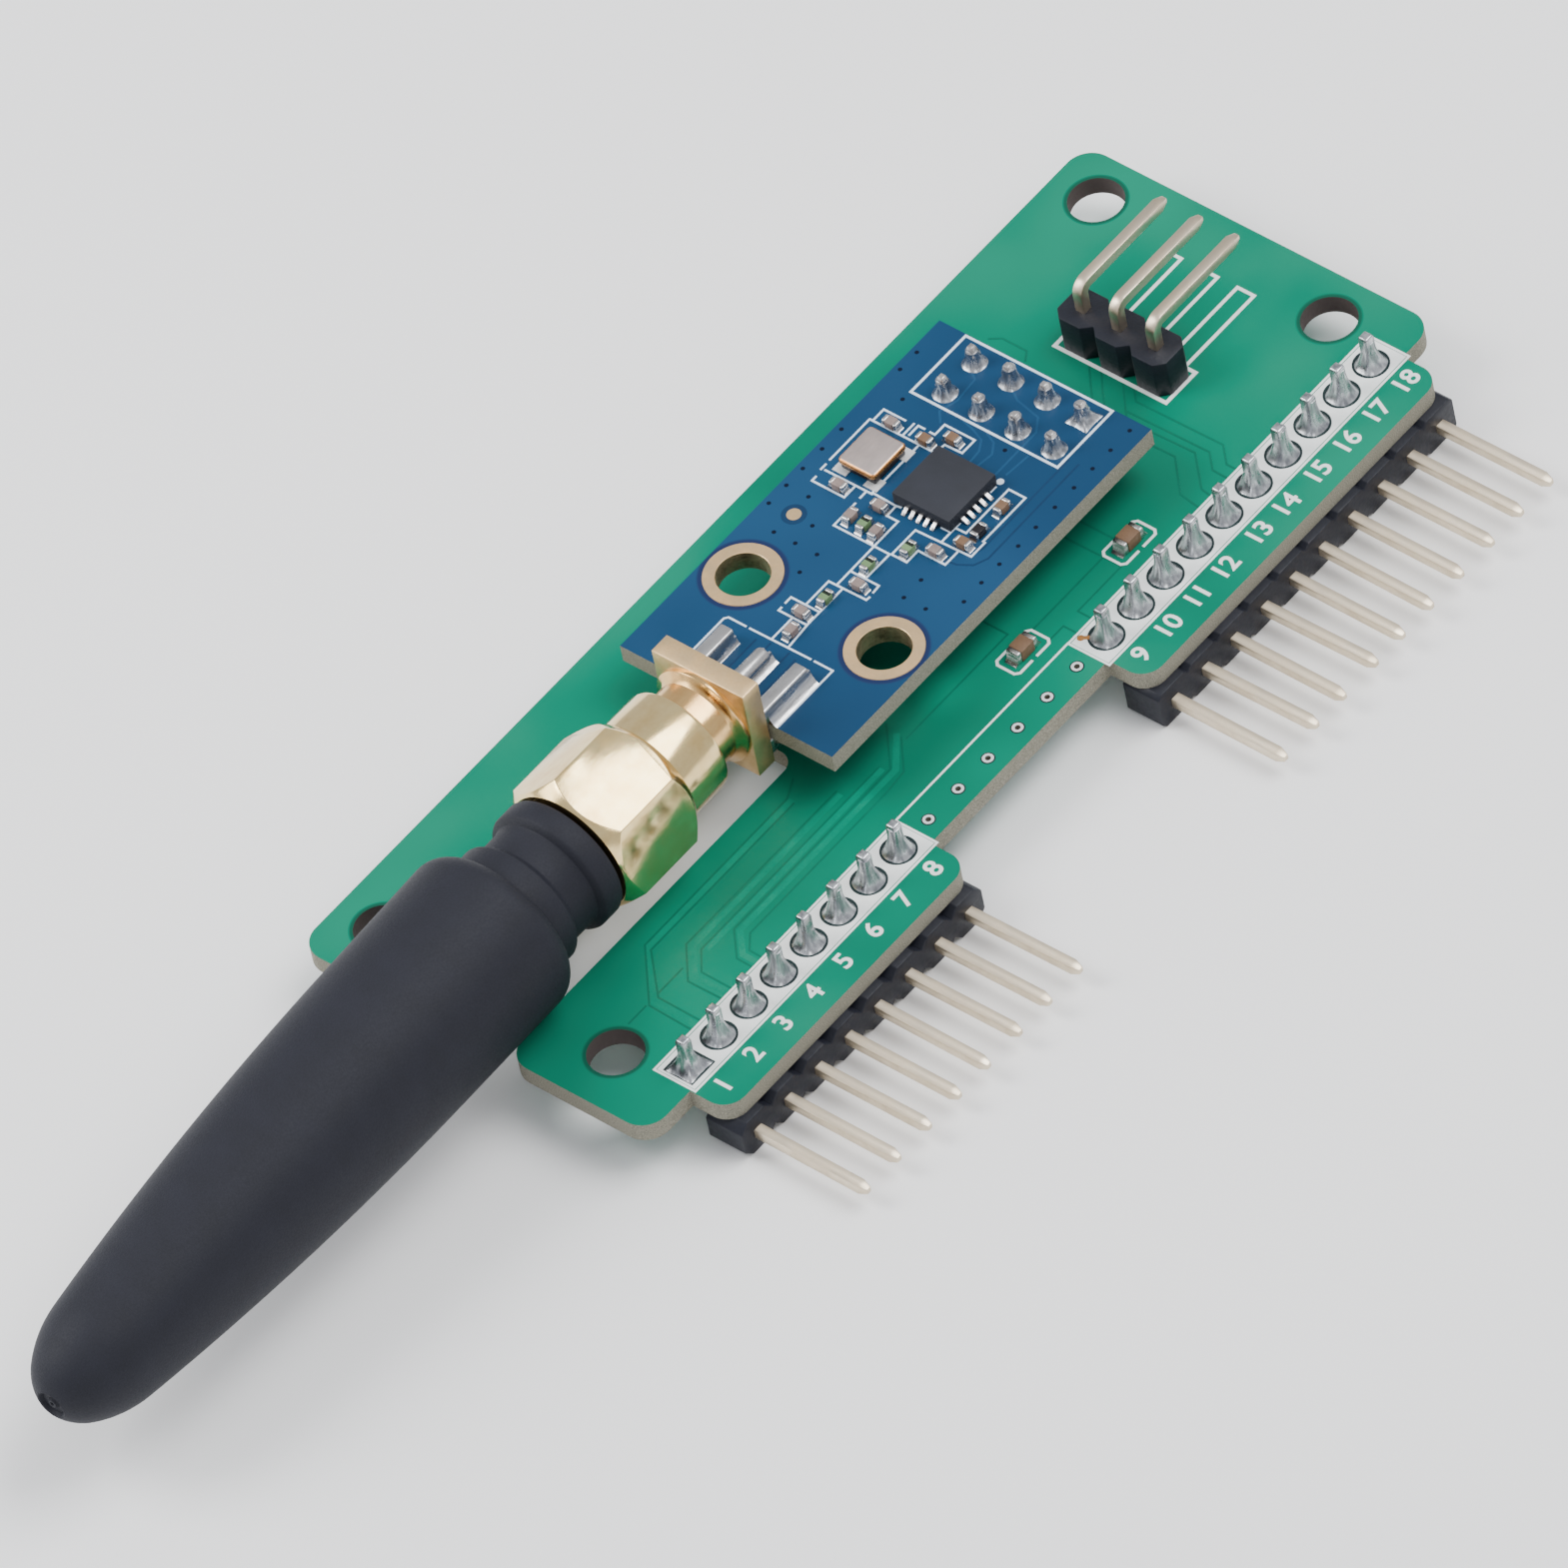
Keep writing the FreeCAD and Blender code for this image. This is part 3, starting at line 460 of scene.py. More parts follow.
# light, dark, stretch of the pull marks, their depth
solders = {
    "solder": ("pin solder", (204, 206, 209), (142, 144, 149), (1, 1, 0.1), 0.012),
    "legSolder": ("leg solder", (216, 216, 216), (176, 176, 178), (1, 0.12, 1), 0.03),
}
inks = {"ink": ("white ink", (238, 242, 240)), "moduleInk": ("pale blue ink", (216, 230, 244))}
finishes = {}
for make, table in ((boardFinish, boards), (metalFinish, metals), (mouldFinish, moulds),
                    (solderFinish, solders), (printFinish, inks)):
    finishes.update({key: make(*row) for key, row in table.items()})

print("finishes ready")


# CAD nodes that keep their shape

keptNodes = {
    "carrier_board": "carrier", "module_board": "module", "jack_insulator": "white", "nut_gasket": "gasket",
    "nut_snap_ring": "steel", "plug_body": "jackGold", "plug_insulator": "white", "plug_contact": "jackGold",
    "antenna_coil": "copper", "crystal_pads": "padTin", "serial_header_solder": "solder",
    "carrier_header_solder": "solder",
}
for node, finish in keptNodes.items():
    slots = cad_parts[node].material_slots
    if not slots:
        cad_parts[node].data.materials.append(finishes[finish])
    for slot in slots:
        slot.material = finishes[finish]


# Pins

pinShape = {"width": 0.64, "tip": 0.34, "taper": 0.55, "bendR": 0.62, "bendSteps": 7, "edge": 0.06,
            "lean": 0.8, "sunk": 0.12, "topTaper": 0.15, "rowTop": 0.8, "serialTop": 0.5}


def squareTip(bm, length):
    # a tapered end at the origin, then a straight bar up Z
    width, tip, taper = pinShape["width"], pinShape["tip"], pinShape["taper"]
    verts = bmesh.ops.create_grid(bm, x_segments=1, y_segments=1, size=tip / 2)["verts"]
    widen = shift(0, 0, taper) @ Matrix.Diagonal((width / tip, width / tip, 1, 1))
    end = drawOut(bm, verts[0].link_faces[:], widen)
    return drawOut(bm, end, shift(0, 0, length - taper))


def closedOff(bm):
    # clears the faces left inside by the extrusions, then rounds the edges
    inside = [f for f in bm.faces if all(len(e.link_faces) > 2 for e in f.edges)]
    bmesh.ops.delete(bm, geom=inside, context="FACES_ONLY")
    bmesh.ops.recalc_face_normals(bm, faces=bm.faces)
    crisp = [e for e in bm.edges if e.is_manifold and e.calc_face_angle() > math.radians(30)]
    roundOver(bm, crisp, pinShape["edge"])
    bmesh.ops.recalc_face_normals(bm, faces=bm.faces)
    return bm


def straightPin(length):
    bm = bmesh.new()
    width, tip, taper = pinShape["width"], pinShape["tip"], pinShape["taper"]
    end = squareTip(bm, length - taper)
    drawOut(bm, end, shift(0, 0, length) @ Matrix.Diagonal((tip / width, tip / width, 0, 1)))
    return closedOff(bm)


def bentPin(rise, reach, top):
    # from a tip at X = reach in along X to the bend under the origin, then up Z to the rise
    bm = bmesh.new()
    r = pinShape["bendR"]
    end = squareTip(bm, reach - r)
    bmesh.ops.transform(bm, matrix=shift(reach, 0) @ turn(-90, "Y"), verts=bm.verts)
    swung = bmesh.ops.spin(bm, geom=end, cent=(r, 0, r), axis=(0, 1, 0), dvec=(0, 0, 0),
                           angle=math.radians(90), steps=pinShape["bendSteps"])["geom_last"]
    end = [g for g in swung if isinstance(g, bmesh.types.BMFace)]
    end = drawOut(bm, end, shift(0, 0, rise - r - pinShape["topTaper"]))
    drawOut(bm, end, shift(0, 0, rise) @ Matrix.Diagonal((top, top, 0, 1)))
    bmesh.ops.remove_doubles(bm, verts=bm.verts, dist=0.0005)
    return closedOff(bm)


def rowPins(row, header):
    low, high = corners(header + "_pins")
    axisZ = low.z + pinShape["width"] / 2
    bm = bmesh.new()
    for at in middlesOf(header + "_solder"):
        lean = turn(dice.uniform(-pinShape["lean"], pinShape["lean"]), "Z")
        rise = high.z - axisZ - dice.uniform(0.0, pinShape["sunk"])
        pin = bentPin(rise, high.x - at.x - 0.01, pinShape["rowTop"])
        addShape(bm, pin, shift(at.x, at.y, axisZ) @ lean)
    # solder has run up the part that stands over the board
    bmesh.ops.bisect_plane(bm, geom=bm.verts[:] + bm.edges[:] + bm.faces[:],
                           plane_co=(0, 0, carrierTop), plane_no=(0, 0, 1))
    for face in bm.faces:
        face.material_index = 1 if face.calc_center_median().z > carrierTop else 0
    settle(bm, "pins_" + row, ["pin", "solder"], header + "_pins")


def serialPins():
    low, high = corners("serial_header_pins")
    bm = bmesh.new()
    axisZ = high.z - pinShape["width"] / 2
    for at in middlesOf("serial_header_solder"):
        pin = bentPin(axisZ - low.z, high.y - at.y, pinShape["serialTop"])
        addShape(bm, pin, shift(at.x, at.y, axisZ) @ turn(90, "Z") @ turn(180, "X"))
    settle(bm, "pins_serial_header", ["serialPin"], "serial_header_pins")


def modulePins():
    low, high = corners("module_header_pins")
    bm = bmesh.new()
    for at in middlesOf("module_header_solder"):
        addShape(bm, straightPin(high.z - low.z), shift(at.x, at.y, low.z))
    settle(bm, "pins_module_header", ["tinned"], "module_header_pins")


rowPins("near_row", "header_1_8")
rowPins("far_row", "header_9_18")
serialPins()
modulePins()
print("pins made")


# Solder round the pins

coneShape = {"sides": 48, "levels": 10, "foot": 0.92, "neck": 0.34, "moduleFoot": 0.72, "moduleNeck": 0.35,
             "rise": 1.25, "hollow": 2.1, "lobe": 0.09, "fine": 0.02, "lean": 0.05,
             "tall": (0.94, 1.08), "thick": (0.97, 1.06)}  # how much the cones of a row differ


def solderCone(height, foot, neck, squareFoot):
    # concave from its foot to the pin, with four ridges that follow the pin's corners
    c = coneShape
    profile = []
    for n in range(c["levels"] + 1):
        share = n / c["levels"]
        profile.append((height * share ** c["rise"], neck + (foot - neck) * (1 - share) ** c["hollow"]))
    cone = lathe([(0, 0)] + profile + [(height, 0)], c["sides"], upright=True)
    phase = dice.uniform(0, 6)
    for vert in cone.verts:
        reach = math.hypot(vert.co.x, vert.co.y)
        if reach < 0.01:
            continue
        share = vert.co.z / height
        angle = math.atan2(vert.co.y, vert.co.x)
        swell = math.sin(math.pi * min(1, share * 1.1 + 0.1))
        lobes = c["lobe"] * math.cos(4 * angle + math.pi) + c["fine"] * math.cos(9 * angle + phase)
        ridge = 1 + swell * lobes
        if squareFoot and share < 0.5:
            corner = 1 / max(abs(math.cos(angle)), abs(math.sin(angle)))
            ridge *= 1 + (corner - 1) * (1 - share * 2) ** 1.5
        vert.co.x *= ridge
        vert.co.y *= ridge
    return cone


def solderRow(name, node, foot, neck, squareOne=None):
    bm = bmesh.new()
    tilt = coneShape["lean"]
    for n, (low, high) in enumerate(solidsOf(node)):
        middle = (low + high) / 2
        height = (high.z - low.z) * dice.uniform(*coneShape["tall"])
        cone = solderCone(height, foot, neck * dice.uniform(*coneShape["thick"]), n == squareOne)
        lean = Matrix.Shear("XY", 4, (dice.uniform(-tilt, tilt), dice.uniform(-tilt, tilt)))
        addShape(bm, cone, shift(middle.x, middle.y, low.z) @ lean)
    settle(bm, name, ["solder"], node, sharp=60)


# the first pin has a square pad, and on the module the far right one
solderRow("solder_near_row", "header_1_8_solder", coneShape["foot"], coneShape["neck"], 0)
solderRow("solder_far_row", "header_9_18_solder", coneShape["foot"], coneShape["neck"])
solderRow("solder_module_header", "module_header_solder", coneShape["moduleFoot"], coneShape["moduleNeck"], 7)
print("solder made")


# Header plastics

cell = {"chamfer": 0.55, "straight": 0.28, "edge": 0.07}


def cellOutline(count, chamfer, depth=pitch):
    # the outline of a strip of cells, notched between them, first pin at the origin
    top = [(-pitch / 2, depth / 2 - chamfer)]
    for n in range(count):
        left, right = (n - 0.5) * pitch, (n + 0.5) * pitch
        top += [(left + chamfer, depth / 2), (right - chamfer, depth / 2), (right, depth / 2 - chamfer)]
    return top + [(x, -y) for x, y in reversed(top)]


def rowPlastic(row, header, count, chamfer):
    # lies on its side under the board, its cells along Y
    low, high = corners(header + "_body")
    bm = bmesh.new()
    body = slab(cellOutline(count, chamfer), 0, high.x - low.x, cell["edge"])
    upX = Matrix(((0, 0, 1, 0), (1, 0, 0, 0), (0, 1, 0, 0), (0, 0, 0, 1)))
    addShape(bm, body, shift(low.x, low.y + pitch / 2, (low.z + high.z) / 2) @ upX)
    settle(bm, "header_" + row, ["headerBlack"], header + "_body")


def standingPlastic(name, node, count):
    # stands on the carrier, its cells along X
    low, high = corners(node)
    bm = slab(cellOutline(count, cell["chamfer"], high.y - low.y), 0, high.z - low.z, cell["edge"])
    bmesh.ops.translate(bm, vec=(low.x + pitch / 2, (low.y + high.y) / 2, low.z), verts=bm.verts)
    settle(bm, name, ["headerBlack"], node)


rowPlastic("near_row", "header_1_8", 8, cell["chamfer"])
rowPlastic("far_row", "header_9_18", 10, cell["straight"])
standingPlastic("header_serial", "serial_header_body", 3)
standingPlastic("header_between_boards", "module_header_body", 4)
print("header plastics made")


# Small parts with two ends

blockShape = {"grow": 0.03, "bandTop": 0.01, "bandDeep": 0.06}
capShape = {"segments": 3, "wide": 0.92, "tall": 0.75, "hollow": 1.7, "sunk": 0.05, "overlap": 0.02}


def bodies(name, node, coats, radius=0.05, coatOf=lambda middle: 0, band=0.0):
    # small blocks; a band is a dark mark across the far end of the top
    bm = bmesh.new()
    grow = Vector((blockShape["grow"], blockShape["grow"], 0))
    for low, high in solidsOf(node):
        softBox(bm, low - grow, high + grow, radius, 2, coatOf((low + high) / 2))
        if band:
            along = 1 if high.y - low.y > high.x - low.x - 0.001 else 0
            stripeLow = Vector((low.x, low.y, high.z - blockShape["bandDeep"]))
            stripeLow[along] = high[along] - band * (high[along] - low[along])
            softBox(bm, stripeLow, high + Vector((0, 0, blockShape["bandTop"])), 0.01, 1, 1)
    settle(bm, name, coats, node)


def brownOnes(middle):
    # brown for the ones behind the chip and on its right, grey for the rest
    behind = middle.y > 5.0 and middle.x > -4.0
    return 0 if behind or (middle.x > 3.0 and middle.y > 4.6) else 1


def endCaps(name, node, bodyNodes, board, radius, fillet):
    # rounded caps with a hollow fillet of solder outside each
    c = capShape
    middles = [middle for body in bodyNodes for middle in middlesOf(body)]
    bm = bmesh.new()
    for low, high in solidsOf(node):
        middle = (low + high) / 2
        outward = middle - min(middles, key=lambda m: (m - middle).length)
        axis = 0 if abs(outward.x) > abs(outward.y) else 1
        sign = 1 if outward[axis] > 0 else -1
        softBox(bm, low, high, radius, c["segments"])
        wide = (high - low)[1 - axis] * c["wide"]
        tall = (high.z - low.z) * c["tall"]
        curve = [(fillet * (1 - s) ** c["hollow"], tall * s ** c["hollow"]) for s in (0, 0.25, 0.5, 0.75, 1)]
        shape = slab([(-c["sunk"], 0)] + curve + [(-c["sunk"], tall)], -wide / 2, wide / 2)
        place = Vector(middle)
        place[axis] = (high if sign > 0 else low)[axis] - c["overlap"] * sign
        addShape(bm, shape, shift(place.x, place.y, board) @ facing(axis, sign) @ turn(90, "X"))
    settle(bm, name, ["tinned"], node)


bodies("module_capacitors", "small_capacitors", ["brownBody", "greyBody"],
       coatOf=brownOnes)
bodies("module_inductors", "small_inductors", ["greenBody", "darkBand"], band=0.4)
bodies("module_resistor", "small_resistor", ["blackBody"], 0.03)
bodies("carrier_capacitor_bodies", "carrier_capacitors", ["brownBody"])
endCaps("module_part_ends", "small_part_ends", ("small_capacitors", "small_inductors", "small_resistor"),
        moduleTop, 0.08, 0.16)
endCaps("carrier_part_ends", "carrier_capacitor_ends", ("carrier_capacitors",), carrierTop, 0.1, 0.28)
print("small parts made")


# Parts printed and laid on the boards

# heights of the layers, and widths of the lines
printed = {"ink": 0.016, "well": 0.021, "gap": 0.004, "line": 0.125, "heavyLine": 0.16, "edgeLine": 0.14,
           "joinLine": 0.13, "lift": 0.0005}
nearPins, farPins = middlesOf("header_1_8_solder"), middlesOf("header_9_18_solder")


def printLines(bm, paths, width, level, thick, coat=0):
    # lines that cross lie a hair over each other, so that no two tops share a plane
    for n, path in enumerate(paths):
        strip(bm, path, width, level, thick + 0.0004 * n, coat=coat)


def inkLine(bm, path, width, lifts=0, closed=False):
    # ink on the carrier, lifted a hair where it lies over other ink
    strip(bm, path, width, carrierTop, printed["ink"] + lifts * printed["lift"], closed)


def discAt(bm, x, y, z, height, outer, inner=0.0, steps=32, coat=0):
    # a flat ring or a disc lying on a board
    profile = [(height, inner), (height, outer), (0, outer), (0, inner)]
    shape = lathe(profile + ([(height, inner)] if inner else []), steps, upright=True)
    addShape(bm, shape, shift(x, y, z), coat)


barShape = {"half": 1.31, "lineAt": 1.43, "past": 1.52, "firstPast": 1.18, "joinX": -1.45, "inside": 0.1}


def printedBars(bm):
    # a white bar down each row, with a fine line along both sides
    b = barShape
    for pins, before in ((nearPins, b["firstPast"]), (farPins, b["past"])):
        y0, y1 = pins[0].y - before, pins[-1].y + b["past"]
        inside = b["half"] + b["inside"]
        inkLine(bm, [(rowX, y0 + inside), (rowX, y1 - inside)], 2 * b["half"])
        border = boxed(rowX - b["lineAt"], y0, rowX + b["lineAt"], y1)
        inkLine(bm, border, printed["edgeLine"], 1, closed=True)
    # a fine line joins the two bars
    x = rowX + b["joinX"]
    join = [(x, nearPins[-1].y + b["past"]), (x, farPins[0].y - b["past"])]
    inkLine(bm, join, printed["joinLine"], 2)


numberShape = {"size": 1.62, "weight": 0.035, "x": 14.56,
               "nudge": {10: -0.2, 11: -0.22, 12: -0.38, 14: -0.2}}  # along the row


def numerals(bm):
    # pin numbers, their tops towards the board's middle
    for n, at in enumerate(nearPins + farPins):
        curve = bpy.data.curves.new("number", "FONT")
        curve.body, curve.size = str(n + 1), numberShape["size"]
        curve.align_x, curve.align_y = "CENTER", "CENTER"
        curve.offset, curve.extrude = numberShape["weight"], printed["ink"] / 2
        curve.resolution_u = 4
        holder = linked("number", curve)
        bpy.context.view_layer.update()
        graph = bpy.context.evaluated_depsgraph_get()
        mesh = bpy.data.meshes.new_from_object(holder.evaluated_get(graph))
        shape = bmesh.new()
        shape.from_mesh(mesh)
        bmesh.ops.remove_doubles(shape, verts=shape.verts, dist=0.0005)
        bmesh.ops.dissolve_degenerate(shape, edges=shape.edges, dist=0.0005)
        bmesh.ops.recalc_face_normals(shape, faces=shape.faces)
        y = at.y + numberShape["nudge"].get(n + 1, 0)
        addShape(bm, shape, shift(numberShape["x"], y, carrierTop + printed["ink"] / 2) @ turn(90, "Z"))
        bpy.data.objects.remove(holder)
        bpy.data.curves.remove(curve)
        bpy.data.meshes.remove(mesh)


serialBox = {"x": (-3.42, 4.37), "y": (21.1, 23.65), "line": 0.24,
             "laneEnd": 29.68, "laneW": 1.16, "laneLine": 0.216}


def serialPrint(bm):
    # a box round the three-pin header, and a lane under each of its long pins
    (x0, x1), (y0, y1) = serialBox["x"], serialBox["y"]
    inkLine(bm, boxed(x0, y0, x1, y1), serialBox["line"], closed=True)
    half, end = serialBox["laneW"] / 2, serialBox["laneEnd"]
    for at in middlesOf("serial_header_solder"):
        lane = [(at.x - half, y1), (at.x - half, end), (at.x + half, end), (at.x + half, y1)]
        inkLine(bm, lane, serialBox["laneLine"], 1)


bracket = {"halfX": 0.81, "halfY": 1.46, "gap": 0.26, "corner": 0.22, "line": 0.17}


def capacitorPrint(bm):
    # a bracket round each end of each capacitor
    halfX, corner = bracket["halfX"], bracket["corner"]
    for at in middlesOf("carrier_capacitors"):
        for side in (-1, 1):
            start, end = at.y + side * bracket["gap"], at.y + side * bracket["halfY"]
            path = [(at.x - halfX, start), (at.x - halfX, end - side * corner), (at.x - halfX + corner, end),
                    (at.x + halfX - corner, end), (at.x + halfX, end - side * corner), (at.x + halfX, start)]
            inkLine(bm, path, bracket["line"])


def carrierPrint():
    bm = bmesh.new()
    printedBars(bm)
    numerals(bm)
    serialPrint(bm)
    capacitorPrint(bm)
    settle(bm, "carrier_print", ["ink"])


ringShape = {"round": 1.05, "squareX": 1.02, "squareLow": 0.95, "squareHigh": 1.02,
             "viaBore": 0.17, "viaPad": 0.33, "viaMoat": 0.41, "vias": 6, "viaSides": 20}


def carrierWells():
    # dark bare rings round the pads, and round the vias between the rows
    r = ringShape
    ink, well = printed["ink"], printed["well"]
    bm = bmesh.new()
    for at in nearPins[1:] + farPins:
        discAt(bm, at.x, at.y, carrierTop, well, r["round"])
    x, y, z = nearPins[0]
    softBox(bm, (x - r["squareX"], y - r["squareLow"], carrierTop),
            (x + r["squareX"], y + r["squareHigh"], carrierTop + well), 0)
    for n in range(r["vias"]):
        y = nearPins[-1].y + (n + 1) * pitch
        discAt(bm, rowX, y, carrierTop, ink * 0.6, r["viaMoat"], r["viaBore"], r["viaSides"])
        for z in (carrierTop + ink * 0.3, carrierLow.z - ink):
            discAt(bm, rowX, y, z, ink, r["viaPad"], r["viaBore"], r["viaSides"], 1)
    settle(bm, "pad_rings", ["well", "padTin"])


carrierPrint()
carrierWells()

# dark gaps beside the tracks, read along their middles
trackGaps = (
    [(5.9, -4.84), (8.1, -7.2), (8.07, -20.46), (9.52, -21.98), (10.6, -22.0)],
    [(7.2, -5.16), (8.84, -6.95), (8.99, -8.5), (8.99, -20.2), (9.74, -21.18), (10.6, -21.2)],
    [(7.5, -7.4), (7.47, -22.5), (8.51, -23.74), (10.6, -23.76)],
    [(6.62, -10.0), (6.56, -22.67), (8.3, -24.63), (10.6, -24.6)],
    [(5.2, -11.9), (5.2, -24.0), (7.66, -26.36), (10.6, -26.4)],
    [(4.1, -10.6), (4.68, -11.8), (4.7, -23.9), (7.6, -27.05), (10.6, -27.15)],
    [(7.47, -24.1), (7.47, -26.1)], [(7.47, -27.2), (7.47, -28.6)],
    [(5.8, 3.62), (7.47, 3.62), (7.47, -5.0)], [(5.6, 12.0), (8.0, 12.0)],
    [(5.6, 10.65), (9.67, 10.67), (9.67, 6.92), (10.5, 6.92)], [(8.42, 10.6), (8.42, 4.7)],
    [(9.67, 4.6), (9.67, 5.68), (10.5, 5.68)], [(-0.9, 20.97), (0.08, 19.9), (2.6, 17.3)],
    [(-0.05, 20.97), (1.0, 19.8), (3.4, 17.4)], [(1.53, 20.9), (2.84, 19.5), (4.6, 17.7)],
    [(2.3, 20.9), (2.9, 20.32), (8.9, 20.4), (9.95, 19.4), (10.5, 19.4)],
    [(2.9, 19.5), (8.6, 19.6), (9.55, 18.68), (10.5, 18.65)],
    [(5.0, 19.05), (7.95, 19.15), (9.9, 17.3), (10.5, 17.2)],
    [(5.0, 18.3), (7.2, 18.35), (9.15, 16.4), (10.5, 16.2)],
    [(-6.8, 19.6), (-6.2, 20.0), (-4.5, 20.0), (-4.1, 19.4)],
)
trackTops = (
    [(6.9, -5.2), (8.4, -7.1), (8.4, -20.35), (9.62, -21.6), (10.5, -21.6)], [(7.74, -7.6), (7.74, -22.2)],
    [(6.94, -10.2), (6.94, -22.6), (8.4, -24.16), (10.5, -24.18)],
    [(4.95, -11.9), (4.95, -23.95), (7.62, -26.72), (10.5, -26.77)],
)
trackShape = {"top": 0.36, "gap": 0.12, "stub": [(11.1, 5.56), (11.3, 5.72)], "stubW": 0.26,
              "stubLift": 0.004, "dot": (11.02, 5.5), "dotR": 0.21, "dotLift": 0.005}


def carrierTracks():
    # lighter tracks between darker gaps, both under the mask
    t = trackShape
    bm = bmesh.new()
    printLines(bm, trackTops, t["top"], carrierTop, printed["gap"] * 0.5, 1)
    printLines(bm, trackGaps, t["gap"], carrierTop, printed["gap"])
    settle(bm, "carrier_tracks", ["gap", "track"])
    # a bare gold stub beside the ninth pin
    bm = bmesh.new()
    strip(bm, t["stub"], t["stubW"], carrierTop, printed["well"] + t["stubLift"])
    discAt(bm, *t["dot"], carrierTop, printed["well"] + t["dotLift"], t["dotR"], steps=24)
    settle(bm, "gold_stub", ["lidEdge"])


carrierTracks()
print("carrier print made")

modulePrintLines = (
    [(-3.83, -10.3), (-3.83, -5.95), (-3.66, -5.75), (-2.47, -5.75)], [(-2.16, -5.75), (2.01, -5.7)],
    [(2.32, -5.7), (3.57, -5.7), (3.57, -10.3)], [(-0.68, -5.72), (-0.68, -3.95)],
    [(0.46, -5.68), (0.32, -3.86), (0.32, -0.87)], [(-1.66, -3.7), (-1.66, -3.92), (0.32, -3.92)],
    [(-1.68, -3.3), (-1.68, -2.84), (0.32, -2.84)],
    [(-0.66, -2.84), (-0.66, -0.87), (1.92, -0.82), (1.95, -0.6)], [(-0.12, -0.8), (-0.14, 2.37)],
    [(-0.12, 0.32), (1.87, 0.32), (1.91, -0.2)], [(0.92, 0.35), (0.94, 2.37)],
    [(-2.96, 4.2), (-2.96, 2.38), (0.94, 2.38)],
    [(-0.15, 2.38), (-0.15, 4.44), (-0.93, 4.44), (-0.95, 5.2)],
    [(1.04, 4.46), (1.04, 2.43), (2.09, 2.43), (2.09, 3.4), (3.98, 3.4), (3.98, 4.44)],
    [(1.04, 4.46), (4.82, 4.6), (4.82, 5.76)], [(2.78, 4.52), (2.78, 6.1)],
    [(2.82, 5.73), (3.52, 5.76), (3.52, 9.42)], [(3.52, 9.42), (4.68, 9.42), (4.68, 5.8)],
    [(-6.12, 5.93), (-6.12, 9.28)], [(-5.85, 5.2), (-2.6, 5.22)], [(-2.65, 5.22), (-2.65, 9.33)],
    [(-6.1, 9.33), (-1.81, 9.33)], [(-5.91, 9.35), (-5.91, 10.28), (-4.41, 10.28)],
    [(-3.85, 9.4), (-3.85, 10.33)], [(-3.56, 9.6), (-3.56, 10.36), (-3.14, 10.36)],
    [(-2.71, 10.34), (-2.38, 10.34)],
    [(-2.38, 10.36), (-2.38, 11.18), (-0.28, 11.18), (-0.28, 10.1), (-1.47, 10.06), (-1.49, 9.9)],
    [(-6.1, 5.52), (-6.1, 5.14)], [(-6.0, 4.55), (-6.0, 4.23), (-3.74, 4.23), (-3.74, 5.17)],
    [(-2.98, 5.16), (-2.98, 4.68)], [(-2.6, 5.3), (-1.0, 5.24), (-0.67, 5.3)], [(2.15, 5.36), (2.78, 5.36)],
    [(2.8, 8.76), (2.8, 9.16)],
)
moduleVias = (
    (-6.99, 14.44), (-6.99, 13.0), (-6.99, 7.96), (-6.99, 6.3), (-6.99, 4.65), (-6.99, 3.24), (-6.99, 1.74),
    (-5.44, 3.24), (-5.44, 0.28), (-3.94, 1.74), (-3.94, 0.28), (-2.42, 0.28), (-2.42, -1.2), (-5.51, 11.4),
    (1.56, 11.5), (6.45, 16.2), (6.45, 14.55), (6.45, 13.0), (6.45, 11.4), (6.45, 9.76), (6.47, 8.1),
    (6.5, 6.55), (6.45, 5.0), (6.45, 3.46), (6.5, 1.9), (5.06, 0.4), (3.54, 0.4), (3.54, 1.87),
)
# faint tracks beside and behind the chip, and the bare gaps beside the widest one
moduleTracks = (
    [(0.47, 9.8), (0.4, 10.7), (0.0, 11.4), (-0.9, 11.75), (-1.9, 12.0)],
    [(0.99, 9.8), (1.15, 10.9), (0.7, 11.6), (-0.4, 12.1)],
    [(2.22, 9.8), (2.2, 13.4), (1.6, 14.3), (-0.1, 14.65), (-1.4, 15.4)], [(2.74, 10.2), (2.9, 11.8)],
    [(-4.1, 15.3), (-3.05, 14.6), (-2.9, 12.9), (-3.25, 11.8), (-2.7, 11.2)],
)
moduleGaps = (
    [(4.95, 12.8), (4.98, 5.4), (4.86, 5.0)],
    [(5.62, 12.8), (5.68, 5.0), (5.3, 4.2), (4.5, 3.75), (3.2, 3.55)], [(-0.55, -6.0), (-0.55, -7.4)],
    [(0.75, -6.0), (0.75, -7.2)], [(-1.4, -6.2), (-1.4, -10.2)], [(1.35, -6.2), (1.35, -10.2)],
)
moduleShape = {"headerBox": (-5.46, 12.05, 4.78, 16.78), "firstPin": (2.77, 9.61), "firstPinR": 0.22,
               "viaR": 0.13, "viaSides": 12, "dot": (-5.31, 1.84), "dotR": 0.42, "clearR": 0.72,
               "track": 0.13, "gap": 0.12}


def modulePrint():
    # the outlines of the small parts, a box round the header's pads, the chip's first-pin dot
    m = moduleShape
    bm = bmesh.new()
    printLines(bm, modulePrintLines, printed["line"], moduleTop, printed["ink"])
    strip(bm, boxed(*m["headerBox"]), printed["heavyLine"], moduleTop, printed["ink"], closed=True)
    discAt(bm, *m["firstPin"], moduleTop, printed["ink"], m["firstPinR"])
    settle(bm, "module_print", ["moduleInk"])


